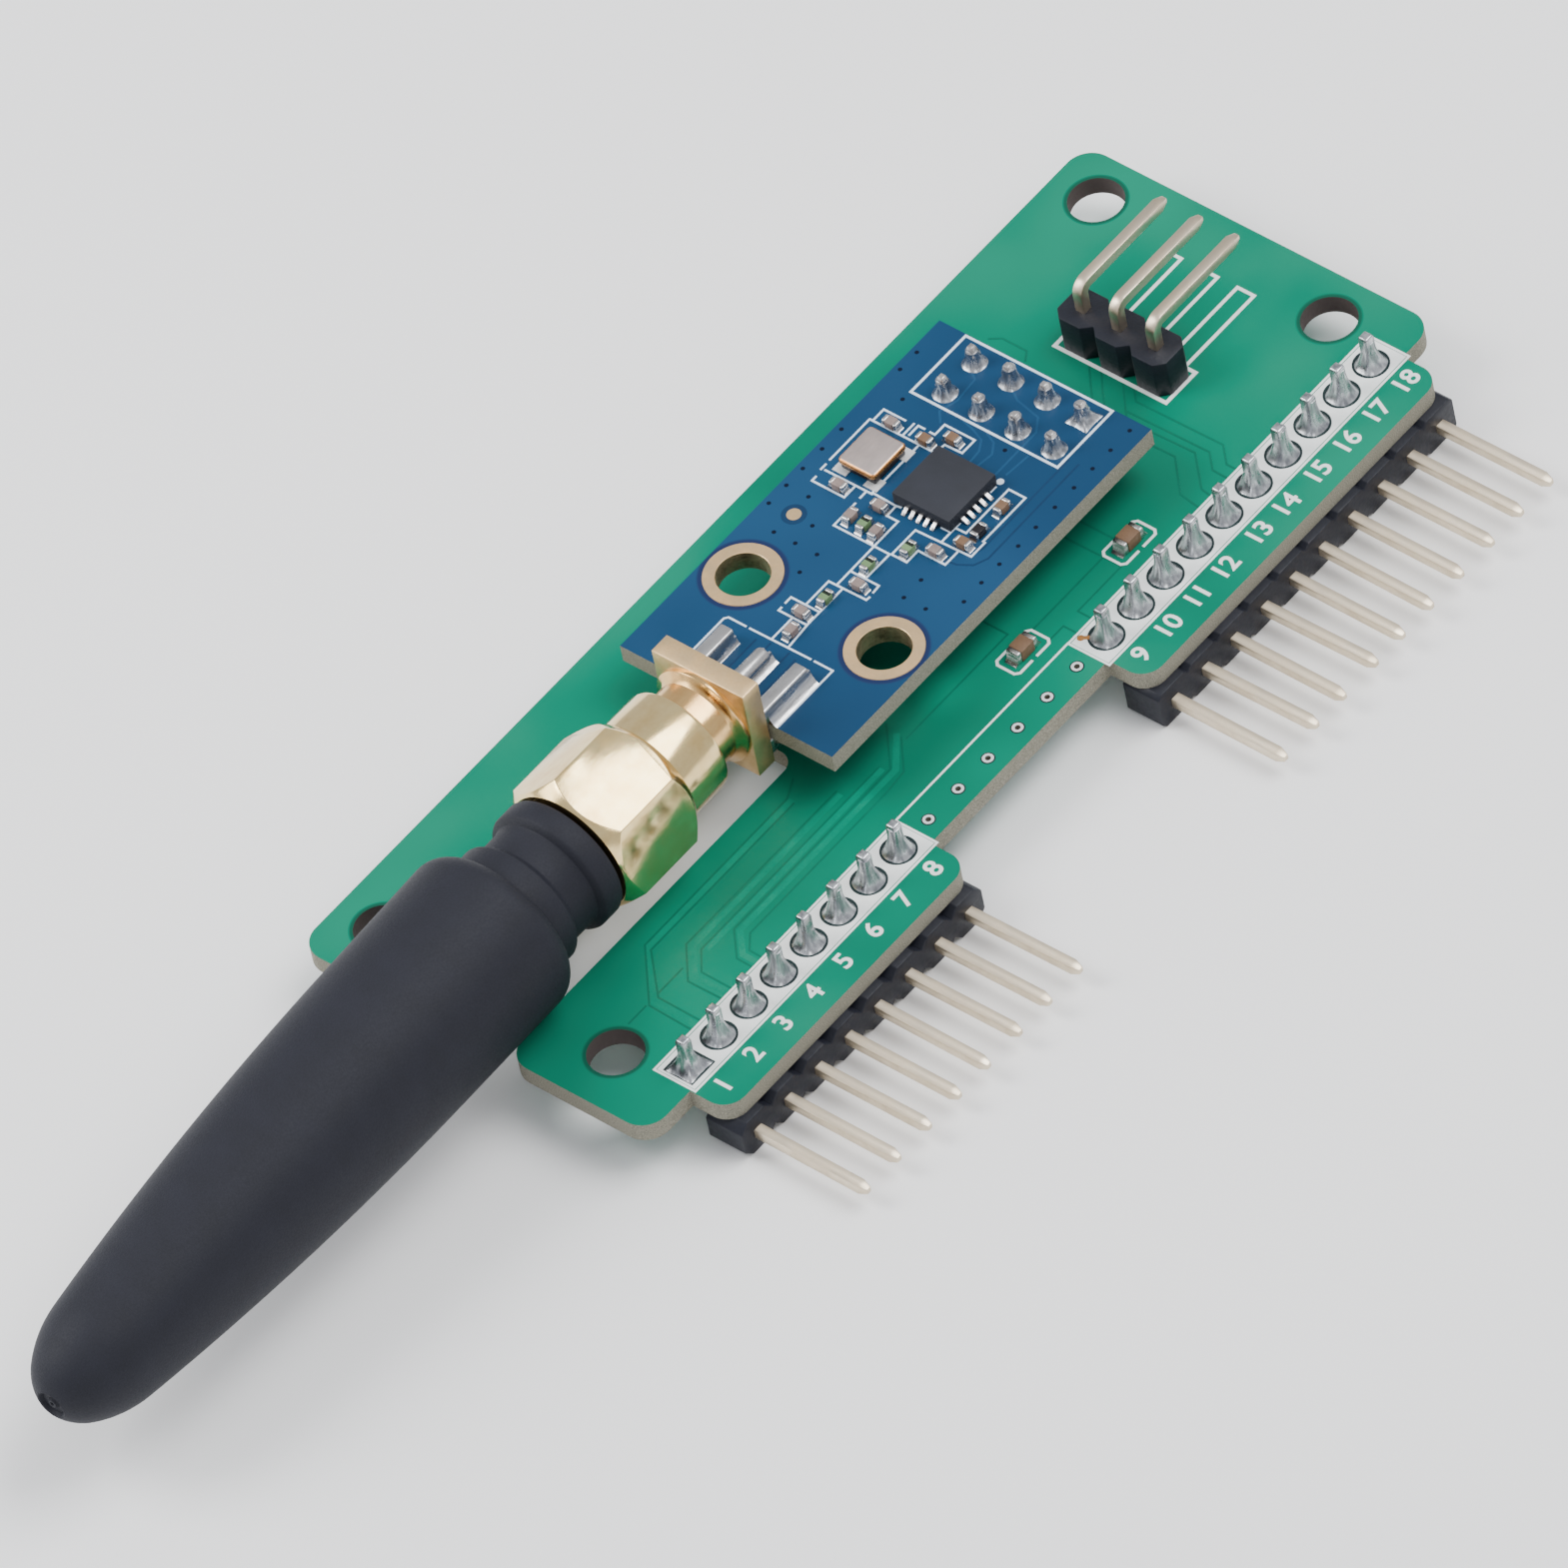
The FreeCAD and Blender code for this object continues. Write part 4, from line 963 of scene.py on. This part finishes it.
def moduleMarks():
    # filled vias, a bare gold dot in its clear ring, and tracks under the mask
    m = moduleShape
    thin = printed["gap"]
    bm = bmesh.new()
    for x, y in moduleVias:
        discAt(bm, x, y, moduleTop, thin * 1.5, m["viaR"], 0, m["viaSides"], 2)
    discAt(bm, *m["dot"], moduleTop, thin, m["clearR"])
    discAt(bm, *m["dot"], moduleTop, printed["ink"], m["dotR"], coat=1)
    printLines(bm, moduleTracks, m["track"], moduleTop, thin * 0.5, 3)
    printLines(bm, moduleGaps, m["gap"], moduleTop, thin)
    settle(bm, "module_marks", ["moduleGap", "gilt", "viaDark", "moduleTrack"])


plating = {"bore": 1.53, "pad": 2.25, "inner": 1.615, "edge": 0.02, "lip": 0.03}


def holePlating():
    # flat gold pads on both faces, with the plated bore between them
    low, high = corners("module_hole_plating")
    bore, pad, inner, edge, lip = (plating[key] for key in ("bore", "pad", "inner", "edge", "lip"))
    bm = bmesh.new()
    for at in middlesOf("module_hole_plating"):
        shape = lathe([
            (low.z, bore + edge), (low.z, pad - edge), (moduleLow.z, pad), (moduleLow.z, inner),
            (moduleTop, inner), (moduleTop, pad), (high.z, pad - edge), (high.z, bore + lip),
            (high.z - lip, bore), (low.z + lip, bore), (low.z, bore + edge)], 64, upright=True)
        for face in shape.faces:
            face.material_index = 1 if face.calc_center_median().xy.length < bore + 0.01 else 0
        addShape(bm, shape, shift(at.x, at.y))
    settle(bm, "hole_plating", ["gilt", "boreWall"], "module_hole_plating")


modulePrint()
moduleMarks()
holePlating()
print("module print made")


# Chip and crystal

chipShape = {"edge": 0.05, "toe": [(0, 0), (0.5, 0), (0.5, 0.06), (0.3, 0.17), (0.08, 0.3), (0, 0.3)],
             "toeHalf": 0.13, "toeEdge": 0.02, "overlap": 0.02}


def chip():
    low, high = corners("transceiver_chip")
    bm = bmesh.new()
    softBox(bm, low, high, chipShape["edge"])
    settle(bm, "radio_chip", ["chip"], "transceiver_chip")
    bm = bmesh.new()
    middle = (low + high) / 2
    half = chipShape["toeHalf"]
    for at in middlesOf("chip_leads"):
        # each toe sets out from the chip's side that its lead stands on
        out = at - middle
        axis = 0 if abs(out.x) > abs(out.y) else 1
        sign = math.copysign(1, out[axis])
        at[axis] = middle[axis] + sign * (high.x - middle.x - chipShape["overlap"])
        toe = slab(chipShape["toe"], -half, half, chipShape["toeEdge"], 1)
        addShape(bm, toe, shift(at.x, at.y, moduleTop) @ facing(axis, sign) @ turn(90, "X"))
    settle(bm, "chip_toes", ["tinned"], "chip_leads")


crystalShape = {"edge": 0.06, "corner": 0.25, "shoulder": 0.17}


def crystal():
    bm = bmesh.new()
    softBox(bm, *corners("crystal_base"), crystalShape["edge"])
    settle(bm, "crystal_case", ["crystalBase"], "crystal_base")
    low, high = corners("crystal_lid")
    bm = bmesh.new()
    softBox(bm, low, high, 0)
    uprights = [e for e in bm.edges if abs((e.verts[0].co - e.verts[1].co).normalized().z) > 0.9]
    roundOver(bm, uprights, crystalShape["corner"], 5)
    top = [e for e in bm.edges if e.calc_face_angle() > 1.2 and min(v.co.z for v in e.verts) > high.z - 0.01]
    roundOver(bm, top, crystalShape["shoulder"], 4)
    for face in bm.faces:
        face.material_index = 0 if face.normal.z > 0.98 else 1
    settle(bm, "crystal_cap", ["lid", "lidEdge"], "crystal_lid")


chip()
crystal()
print("chip and crystal made")


# The antenna socket, the nut and the sleeve, on one axis along Y

axisZ = sum(c.z for c in corners("plug_contact")) / 2
jack = {
    "back": -10.70, "front": -12.05, "half": 3.2, "edge": 0.1, "bossR": 3.15, "boss": 0.30, "neckR": 2.62,
    "threadStart": -15.35, "threadR": 3.10, "threadDeep": 0.22, "threadPitch": 0.66,
    "threadForm": (0, 0.22, 0.36, 0.58), "end": -19.65, "socketR": 2.32, "mating": -17.70, "boreR": 2.07,
    "buried": 0.3, "contactR": 0.63,
    "legX": 2.58, "legW": 0.90, "legH": 1.10, "legEdge": 0.13, "legEnd": -6.90, "tailR": 0.50,
    "tailEnd": -7.00,
}


def ontoAxis(bm):
    bmesh.ops.translate(bm, vec=(0, 0, axisZ), verts=bm.verts)


def jackFlange():
    # a turned ring drawn out to a square, bored for the insulator
    back, front, half, edge, boreR = (jack[key] for key in ("back", "front", "half", "edge", "boreR"))
    soft = edge * 0.3
    ring = lathe([
        (back, boreR), (back, half - edge), (back - soft, half - soft), (back - edge, half),
        (front + edge, half), (front + soft, half - soft), (front, half - edge), (front, boreR),
        (back, boreR)], 64)
    for vert in ring.verts:
        reach = math.hypot(vert.co.x, vert.co.z)
        if reach > boreR + 0.1:
            draw = reach / max(abs(vert.co.x), abs(vert.co.z))
            vert.co.x, vert.co.z = vert.co.x * draw, vert.co.z * draw
    uprights = [e for e in ring.edges if all(
        abs(abs(v.co.x) - abs(v.co.z)) < 0.001 and abs(v.co.x) > half - 0.001 for v in e.verts)]
    roundOver(ring, uprights, edge)
    return ring


def jackPiece():
    j = jack
    bm = bmesh.new()
    addShape(bm, jackFlange(), coat=2)
    crest, root = j["threadR"], j["threadR"] - j["threadDeep"]
    threads, y = [], j["threadStart"]
    while y > j["end"] + 0.5:
        threads += [(y - along, r) for along, r in zip(j["threadForm"], (root, crest, crest, root))]
        y -= j["threadPitch"]
    start, step = j["back"] - j["buried"], j["front"] - j["boss"]
    barrel = lathe([
        (start, j["boreR"]), (start, j["neckR"]), (j["front"] + 0.01, j["bossR"]), (step + 0.06, j["bossR"]),
        (step, j["bossR"] - 0.06), (step - 0.12, j["neckR"] + 0.2), (step - 0.34, j["neckR"]),
        (j["threadStart"] + 0.3, j["neckR"])] + threads + [
        (j["end"] + 0.2, crest - 0.1), (j["end"], crest - 0.25), (j["end"], j["socketR"]),
        (j["mating"], j["socketR"]), (j["mating"], j["boreR"]), (start, j["boreR"])], 72)
    addShape(bm, barrel)
    half = j["legW"] / 2
    for x in (-j["legX"], j["legX"]):
        for z in (moduleTop - axisZ, moduleLow.z - axisZ - j["legH"]):
            low, high = (x - half, j["back"] - 0.1, z), (x + half, j["legEnd"], z + j["legH"])
            softBox(bm, low, high, j["legEdge"], 3, 1)
    ontoAxis(bm)
    settle(bm, "antenna_socket", ["jackGold", "legTin", "flangeGold"], "jack_body")


def tail():
    # the contact's tail, tinned, its end rounded
    mating, back, contactR, r, end = (jack[key] for key in ("mating", "back", "contactR", "tailR", "tailEnd"))
    bm = lathe([(mating, 0), (mating, contactR), (back, contactR), (back, r), (end - 0.2, r),
                (end - 0.06, r * 0.86), (end, r * 0.6), (end, 0)], 32)
    ontoAxis(bm)
    settle(bm, "socket_contact", ["legTin"], "jack_contact")


# width and height of each run of solder: inside and outside the left legs, then the right ones
legRuns = {-1: ((0.2, 0.5), (0.1, 0.4)), 1: ((0.12, 0.45), (0.55, 0.8))}
tailRuns = {-1: (0.35, 0.62), 1: (0.45, 0.62)}
runShape = {"hollow": 1.5, "sunk": 0.15, "innerPast": 0.05, "outerPast": 0.1, "tailX": 0.3, "tailPast": 0.2}


def fillet(bm, x, out, wide, tall, run, level, up=1):
    # a hollow run of solder along Y from the board's edge, leaning on a leg's side
    hollow, sunk = runShape["hollow"], runShape["sunk"]
    curve = [(wide * (1 - s) ** hollow, tall * s ** hollow) for s in (0, 0.15, 0.3, 0.45, 0.6, 0.8, 1)]
    shape = slab([(-sunk, 0)] + curve + [(-sunk, tall)], 0, run)
    # the outline's x runs out from the leg and its y up
    stand = Matrix(((out, 0, 0, 0), (0, 0, 1, 0), (0, up, 0, 0), (0, 0, 0, 1)))
    addShape(bm, shape, shift(x, moduleLow.y, level) @ stand)


def legSolder():
    r = runShape
    legX, half, edgeY = jack["legX"], jack["legW"] / 2, moduleLow.y
    innerRun, outerRun = (jack["legEnd"] - edgeY + r[past] for past in ("innerPast", "outerPast"))
    bm = bmesh.new()
    for side, (inner, outer) in legRuns.items():
        for up, level in ((1, moduleTop), (-1, moduleLow.z)):
            fillet(bm, side * (legX - half), -side, *inner, innerRun, level, up)
            fillet(bm, side * (legX + half), side, *outer, outerRun, level, up)
    for side, size in tailRuns.items():
        fillet(bm, side * r["tailX"], side, *size, jack["tailEnd"] - edgeY + r["tailPast"], moduleTop)
    settle(bm, "socket_solder", ["legSolder"], "jack_solder")


jackPiece()
tail()
legSolder()

nut = {
    "front": -14.20, "collarBack": -17.35, "back": -23.55, "flat": 4.0, "turn": 41.0, "frontFaceR": 3.70,
    "backFaceR": 3.85, "chamfer": 1.15, "edge": 0.07, "crispAngle": 22, "collarR": 3.40,
    "threadBoreR": 3.15, "webY": -21.60, "plugBoreR": 2.65, "sides": 96,
}


def couplingNut():
    # a turned blank cut by the six flats
    n = nut
    cornerR, faceY, boreR = n["flat"] / math.cos(math.radians(30)), n["collarBack"] - 0.01, n["threadBoreR"]
    frontRun, backRun = ((cornerR - n[key]) * n["chamfer"] for key in ("frontFaceR", "backFaceR"))
    bm = lathe([
        (faceY, boreR), (faceY, n["frontFaceR"]), (n["collarBack"] - frontRun, cornerR + 0.02),
        (n["back"] + backRun, cornerR + 0.02), (n["back"], n["backFaceR"]), (n["back"], n["plugBoreR"]),
        (n["webY"], n["plugBoreR"]), (n["webY"], boreR), (faceY, boreR)], n["sides"])
    for k in range(6):
        # each flat's outward direction lies half way between two corners
        angle = math.radians(n["turn"] + 30 + 60 * k)
        out = Vector((math.cos(angle), 0, math.sin(angle)))
        cut = bmesh.ops.bisect_plane(bm, geom=bm.verts[:] + bm.edges[:] + bm.faces[:], dist=0.0001,
                                     plane_co=out * n["flat"], plane_no=out, clear_outer=True)
        rim = [g for g in cut["geom_cut"] if isinstance(g, bmesh.types.BMEdge)]
        bmesh.ops.contextual_create(bm, geom=rim)
    bmesh.ops.remove_doubles(bm, verts=bm.verts, dist=0.002)
    bmesh.ops.recalc_face_normals(bm, faces=bm.faces)
    crisp = [e for e in bm.edges if e.is_manifold and e.calc_face_angle() > math.radians(n["crispAngle"])
             and min(v.co.xz.length for v in e.verts) > 3.6]
    roundOver(bm, crisp, n["edge"])
    back, front, collarR = n["collarBack"], n["front"], n["collarR"]
    addShape(bm, lathe([
        (back, boreR), (back, collarR - 0.08), (back + 0.1, collarR), (front - 0.28, collarR),
        (front - 0.1, collarR - 0.06), (front, collarR - 0.2), (front, boreR + 0.05), (front - 0.15, boreR),
        (back, boreR)], n["sides"]))
    ontoAxis(bm)
    settle(bm, "coupling_nut_turned", ["nutGold"], "coupling_nut", sharp=28)


couplingNut()

sleeve = {
    "start": -23.80, "ringR": 3.95, "ringLen": 1.50, "edge": 0.25, "waistR": 3.45, "waistLen": 1.55,
    "cuffR": 3.92, "cuffTuck": 0.8, "taper": 0.40, "boreR": 2.62, "seam": -29.20, "bodyR": 5.17,
    "length": 38.15, "shoulder": 1.20, "shoulderDrop": 0.58, "shoulderLean": 38.5, "flankLen": 9.15,
    "flankR": 5.10, "noseLen": 4.45, "noseR": 3.49, "browLen": 1.35, "browR": 2.36, "rimLen": 0.12,
    "dimpleR": 0.92, "dimple": 0.25, "nibR": 0.25, "nib": 0.15, "droop": 2.25, "cavityR": 2.97,
    "cavityLen": 24.75, "sides": 96,
}


def tangentArc(start, heading, end, steps):
    # points on the arc that leaves start along heading and reaches end, and the heading there
    chord = end - start
    bend = heading.angle_signed(chord)
    points = []
    for n in range(steps):
        share = n / steps
        # a chord to a point on the arc turns with half the arc's angle
        reach = chord.length * math.sin(bend * share) / math.sin(bend)
        way = Matrix.Rotation(-bend * share, 2) @ heading
        points.append(start + way * reach)
    return points, Matrix.Rotation(-2 * bend, 2) @ heading


def sleeveNeck():
    # the ring behind the nut, the waist and the cuff that runs into the body
    s = sleeve
    start, ringR, waistR, e, taper = s["start"], s["ringR"], s["waistR"], s["edge"], s["taper"]
    ringEnd = start - s["ringLen"]
    waistEnd = ringEnd - taper - s["waistLen"]
    cuffR, seam, tuck = s["cuffR"], s["seam"], s["seam"] - s["cuffTuck"]
    return lathe([
        (start, s["boreR"]), (start, ringR - e), (start - e * 0.3, ringR - e * 0.3), (start - e, ringR),
        (ringEnd + 0.15, ringR), (ringEnd, ringR - 0.08), (ringEnd - taper * 0.5, waistR + 0.1),
        (ringEnd - taper, waistR), (waistEnd, waistR), (waistEnd - taper * 0.5, waistR + 0.14),
        (waistEnd - taper, cuffR - 0.06), (waistEnd - taper - 0.15, cuffR), (seam + 0.14, cuffR),
        (seam - 0.05, cuffR - 0.16), (tuck, cuffR - 0.16), (tuck, s["boreR"]), (start, s["boreR"])],
        s["sides"])


def sleeveBody():
    # shoulder, straight flank, nose and brow as arcs, then the dimple with its nib; hollow inside
    s = sleeve
    seam, dimpleR, nibR = s["seam"], s["dimpleR"], s["nibR"]
    tip, lean = seam - s["length"], math.radians(s["shoulderLean"])
    place = Vector((seam - 0.02, s["bodyR"] - s["shoulderDrop"]))
    heading = Vector((-math.sin(lean), math.cos(lean)))
    crest, flankEnd = Vector((seam - s["shoulder"], s["bodyR"])), Vector((seam - s["flankLen"], s["flankR"]))
    nose, brow = Vector((tip + s["noseLen"], s["noseR"])), Vector((tip + s["browLen"], s["browR"]))
    rim = Vector((tip + s["rimLen"], dimpleR))
    points = []
    for target, steps in ((crest, 8), (nose, 28), (brow, 8), (rim, 8)):
        arc, heading = tangentArc(place, heading, target, steps)
        points += arc
        place = target
        if target is crest:
            points.append(crest)
            heading, place = (flankEnd - crest).normalized(), flankEnd
    cavity, floorY = seam - s["cavityLen"], rim.x + s["dimple"]
    nibY = floorY - s["nib"]
    body = lathe([
        (cavity, 0), (cavity, s["cavityR"]), (seam - 0.3, s["cavityR"]), (seam - 0.02, s["cuffR"] - 0.6)]
        + [(p.x, p.y) for p in points] + [
        (rim.x, dimpleR), (rim.x + 0.04, dimpleR - 0.08), (floorY, dimpleR - 0.18), (floorY, nibR + 0.12),
        (nibY, nibR), (nibY, nibR - 0.1), (floorY - 0.03, 0.1), (floorY - 0.03, 0)], s["sides"])
    droop = shift(0, seam) @ turn(s["droop"], "X") @ shift(0, -seam)
    bmesh.ops.transform(body, matrix=droop, verts=body.verts)
    return body


def antennaSleeve():
    bm = sleeveBody()
    addShape(bm, sleeveNeck())
    ontoAxis(bm)
    settle(bm, "antenna_rubber", ["rubber"], "antenna_sleeve", sharp=30)


antennaSleeve()
print("antenna made")


# Floor, light and camera

floorShape = {"size": 3000, "drop": 0.002, "colour": (247, 247, 247), "roughness": 0.9}
bm = bmesh.new()
bmesh.ops.create_grid(bm, x_segments=1, y_segments=1, size=floorShape["size"] / 2 * mm)
bmesh.ops.translate(bm, vec=(0, 0, cadBox[0].z - floorShape["drop"] * mm), verts=bm.verts)
floorMesh = bpy.data.meshes.new("floor")
bm.to_mesh(floorMesh)
bm.free()
floorFinish = Recipe("pale floor", paint(floorShape["colour"]), Roughness=floorShape["roughness"])
floorMesh.materials.append(floorFinish.material)
floor = linked("floor", floorMesh)

# place, aim, width and power of each square panel
panels = {
    "top panel": ((105, 125, 310), (0, 0, 0), 240, 1.25),
    "key panel": ((-190, -150, 260), (0, 0, 0), 150, 0.75),
    "side panel": ((-240, -200, 130), (0, -10, 0), 160, 0.35),
    "camera panel": ((240, -260, 260), (0, -10, 0), 140, 0.2),
}
for name, (place, aim, size, power) in panels.items():
    lamp = bpy.data.lights.new(name, "AREA")
    lamp.shape, lamp.size, lamp.energy = "SQUARE", size * mm, power
    towards = (Vector(aim) - Vector(place)).to_track_quat("-Z", "Y")
    linked(name, lamp).matrix_world = Matrix.Translation(Vector(place) * mm) @ towards.to_matrix().to_4x4()

studio = {"Color": (0.93, 0.95, 1.0, 1.0), "Strength": 0.74}
world = bpy.data.worlds.new("studio")
world.use_nodes = True
for socket, value in studio.items():
    world.node_tree.nodes["Background"].inputs[socket].default_value = value
scene.world = world

# the photograph's viewpoint, found from the pins
view = {
    "place": (852.645, -755.39, 1259.18),
    "right": (0.76542324, 0.62684985, -0.14555594),
    "up": (-0.40244559, 0.64276854, 0.65183291),
    "back": (0.50216014, -0.44034972, 0.74426294),
    "lens": 727.2, "sensor": 36, "reach": 10,
}
camera = linked("camera", bpy.data.cameras.new("camera"))
camera.data.sensor_width, camera.data.lens = view["sensor"], view["lens"]
camera.data.clip_end = view["reach"]
turned = Matrix((view["right"], view["up"], view["back"])).transposed().to_4x4()
camera.matrix_world = Matrix.Translation(Vector(view["place"]) * mm) @ turned
scene.camera = camera

print("scene ready")
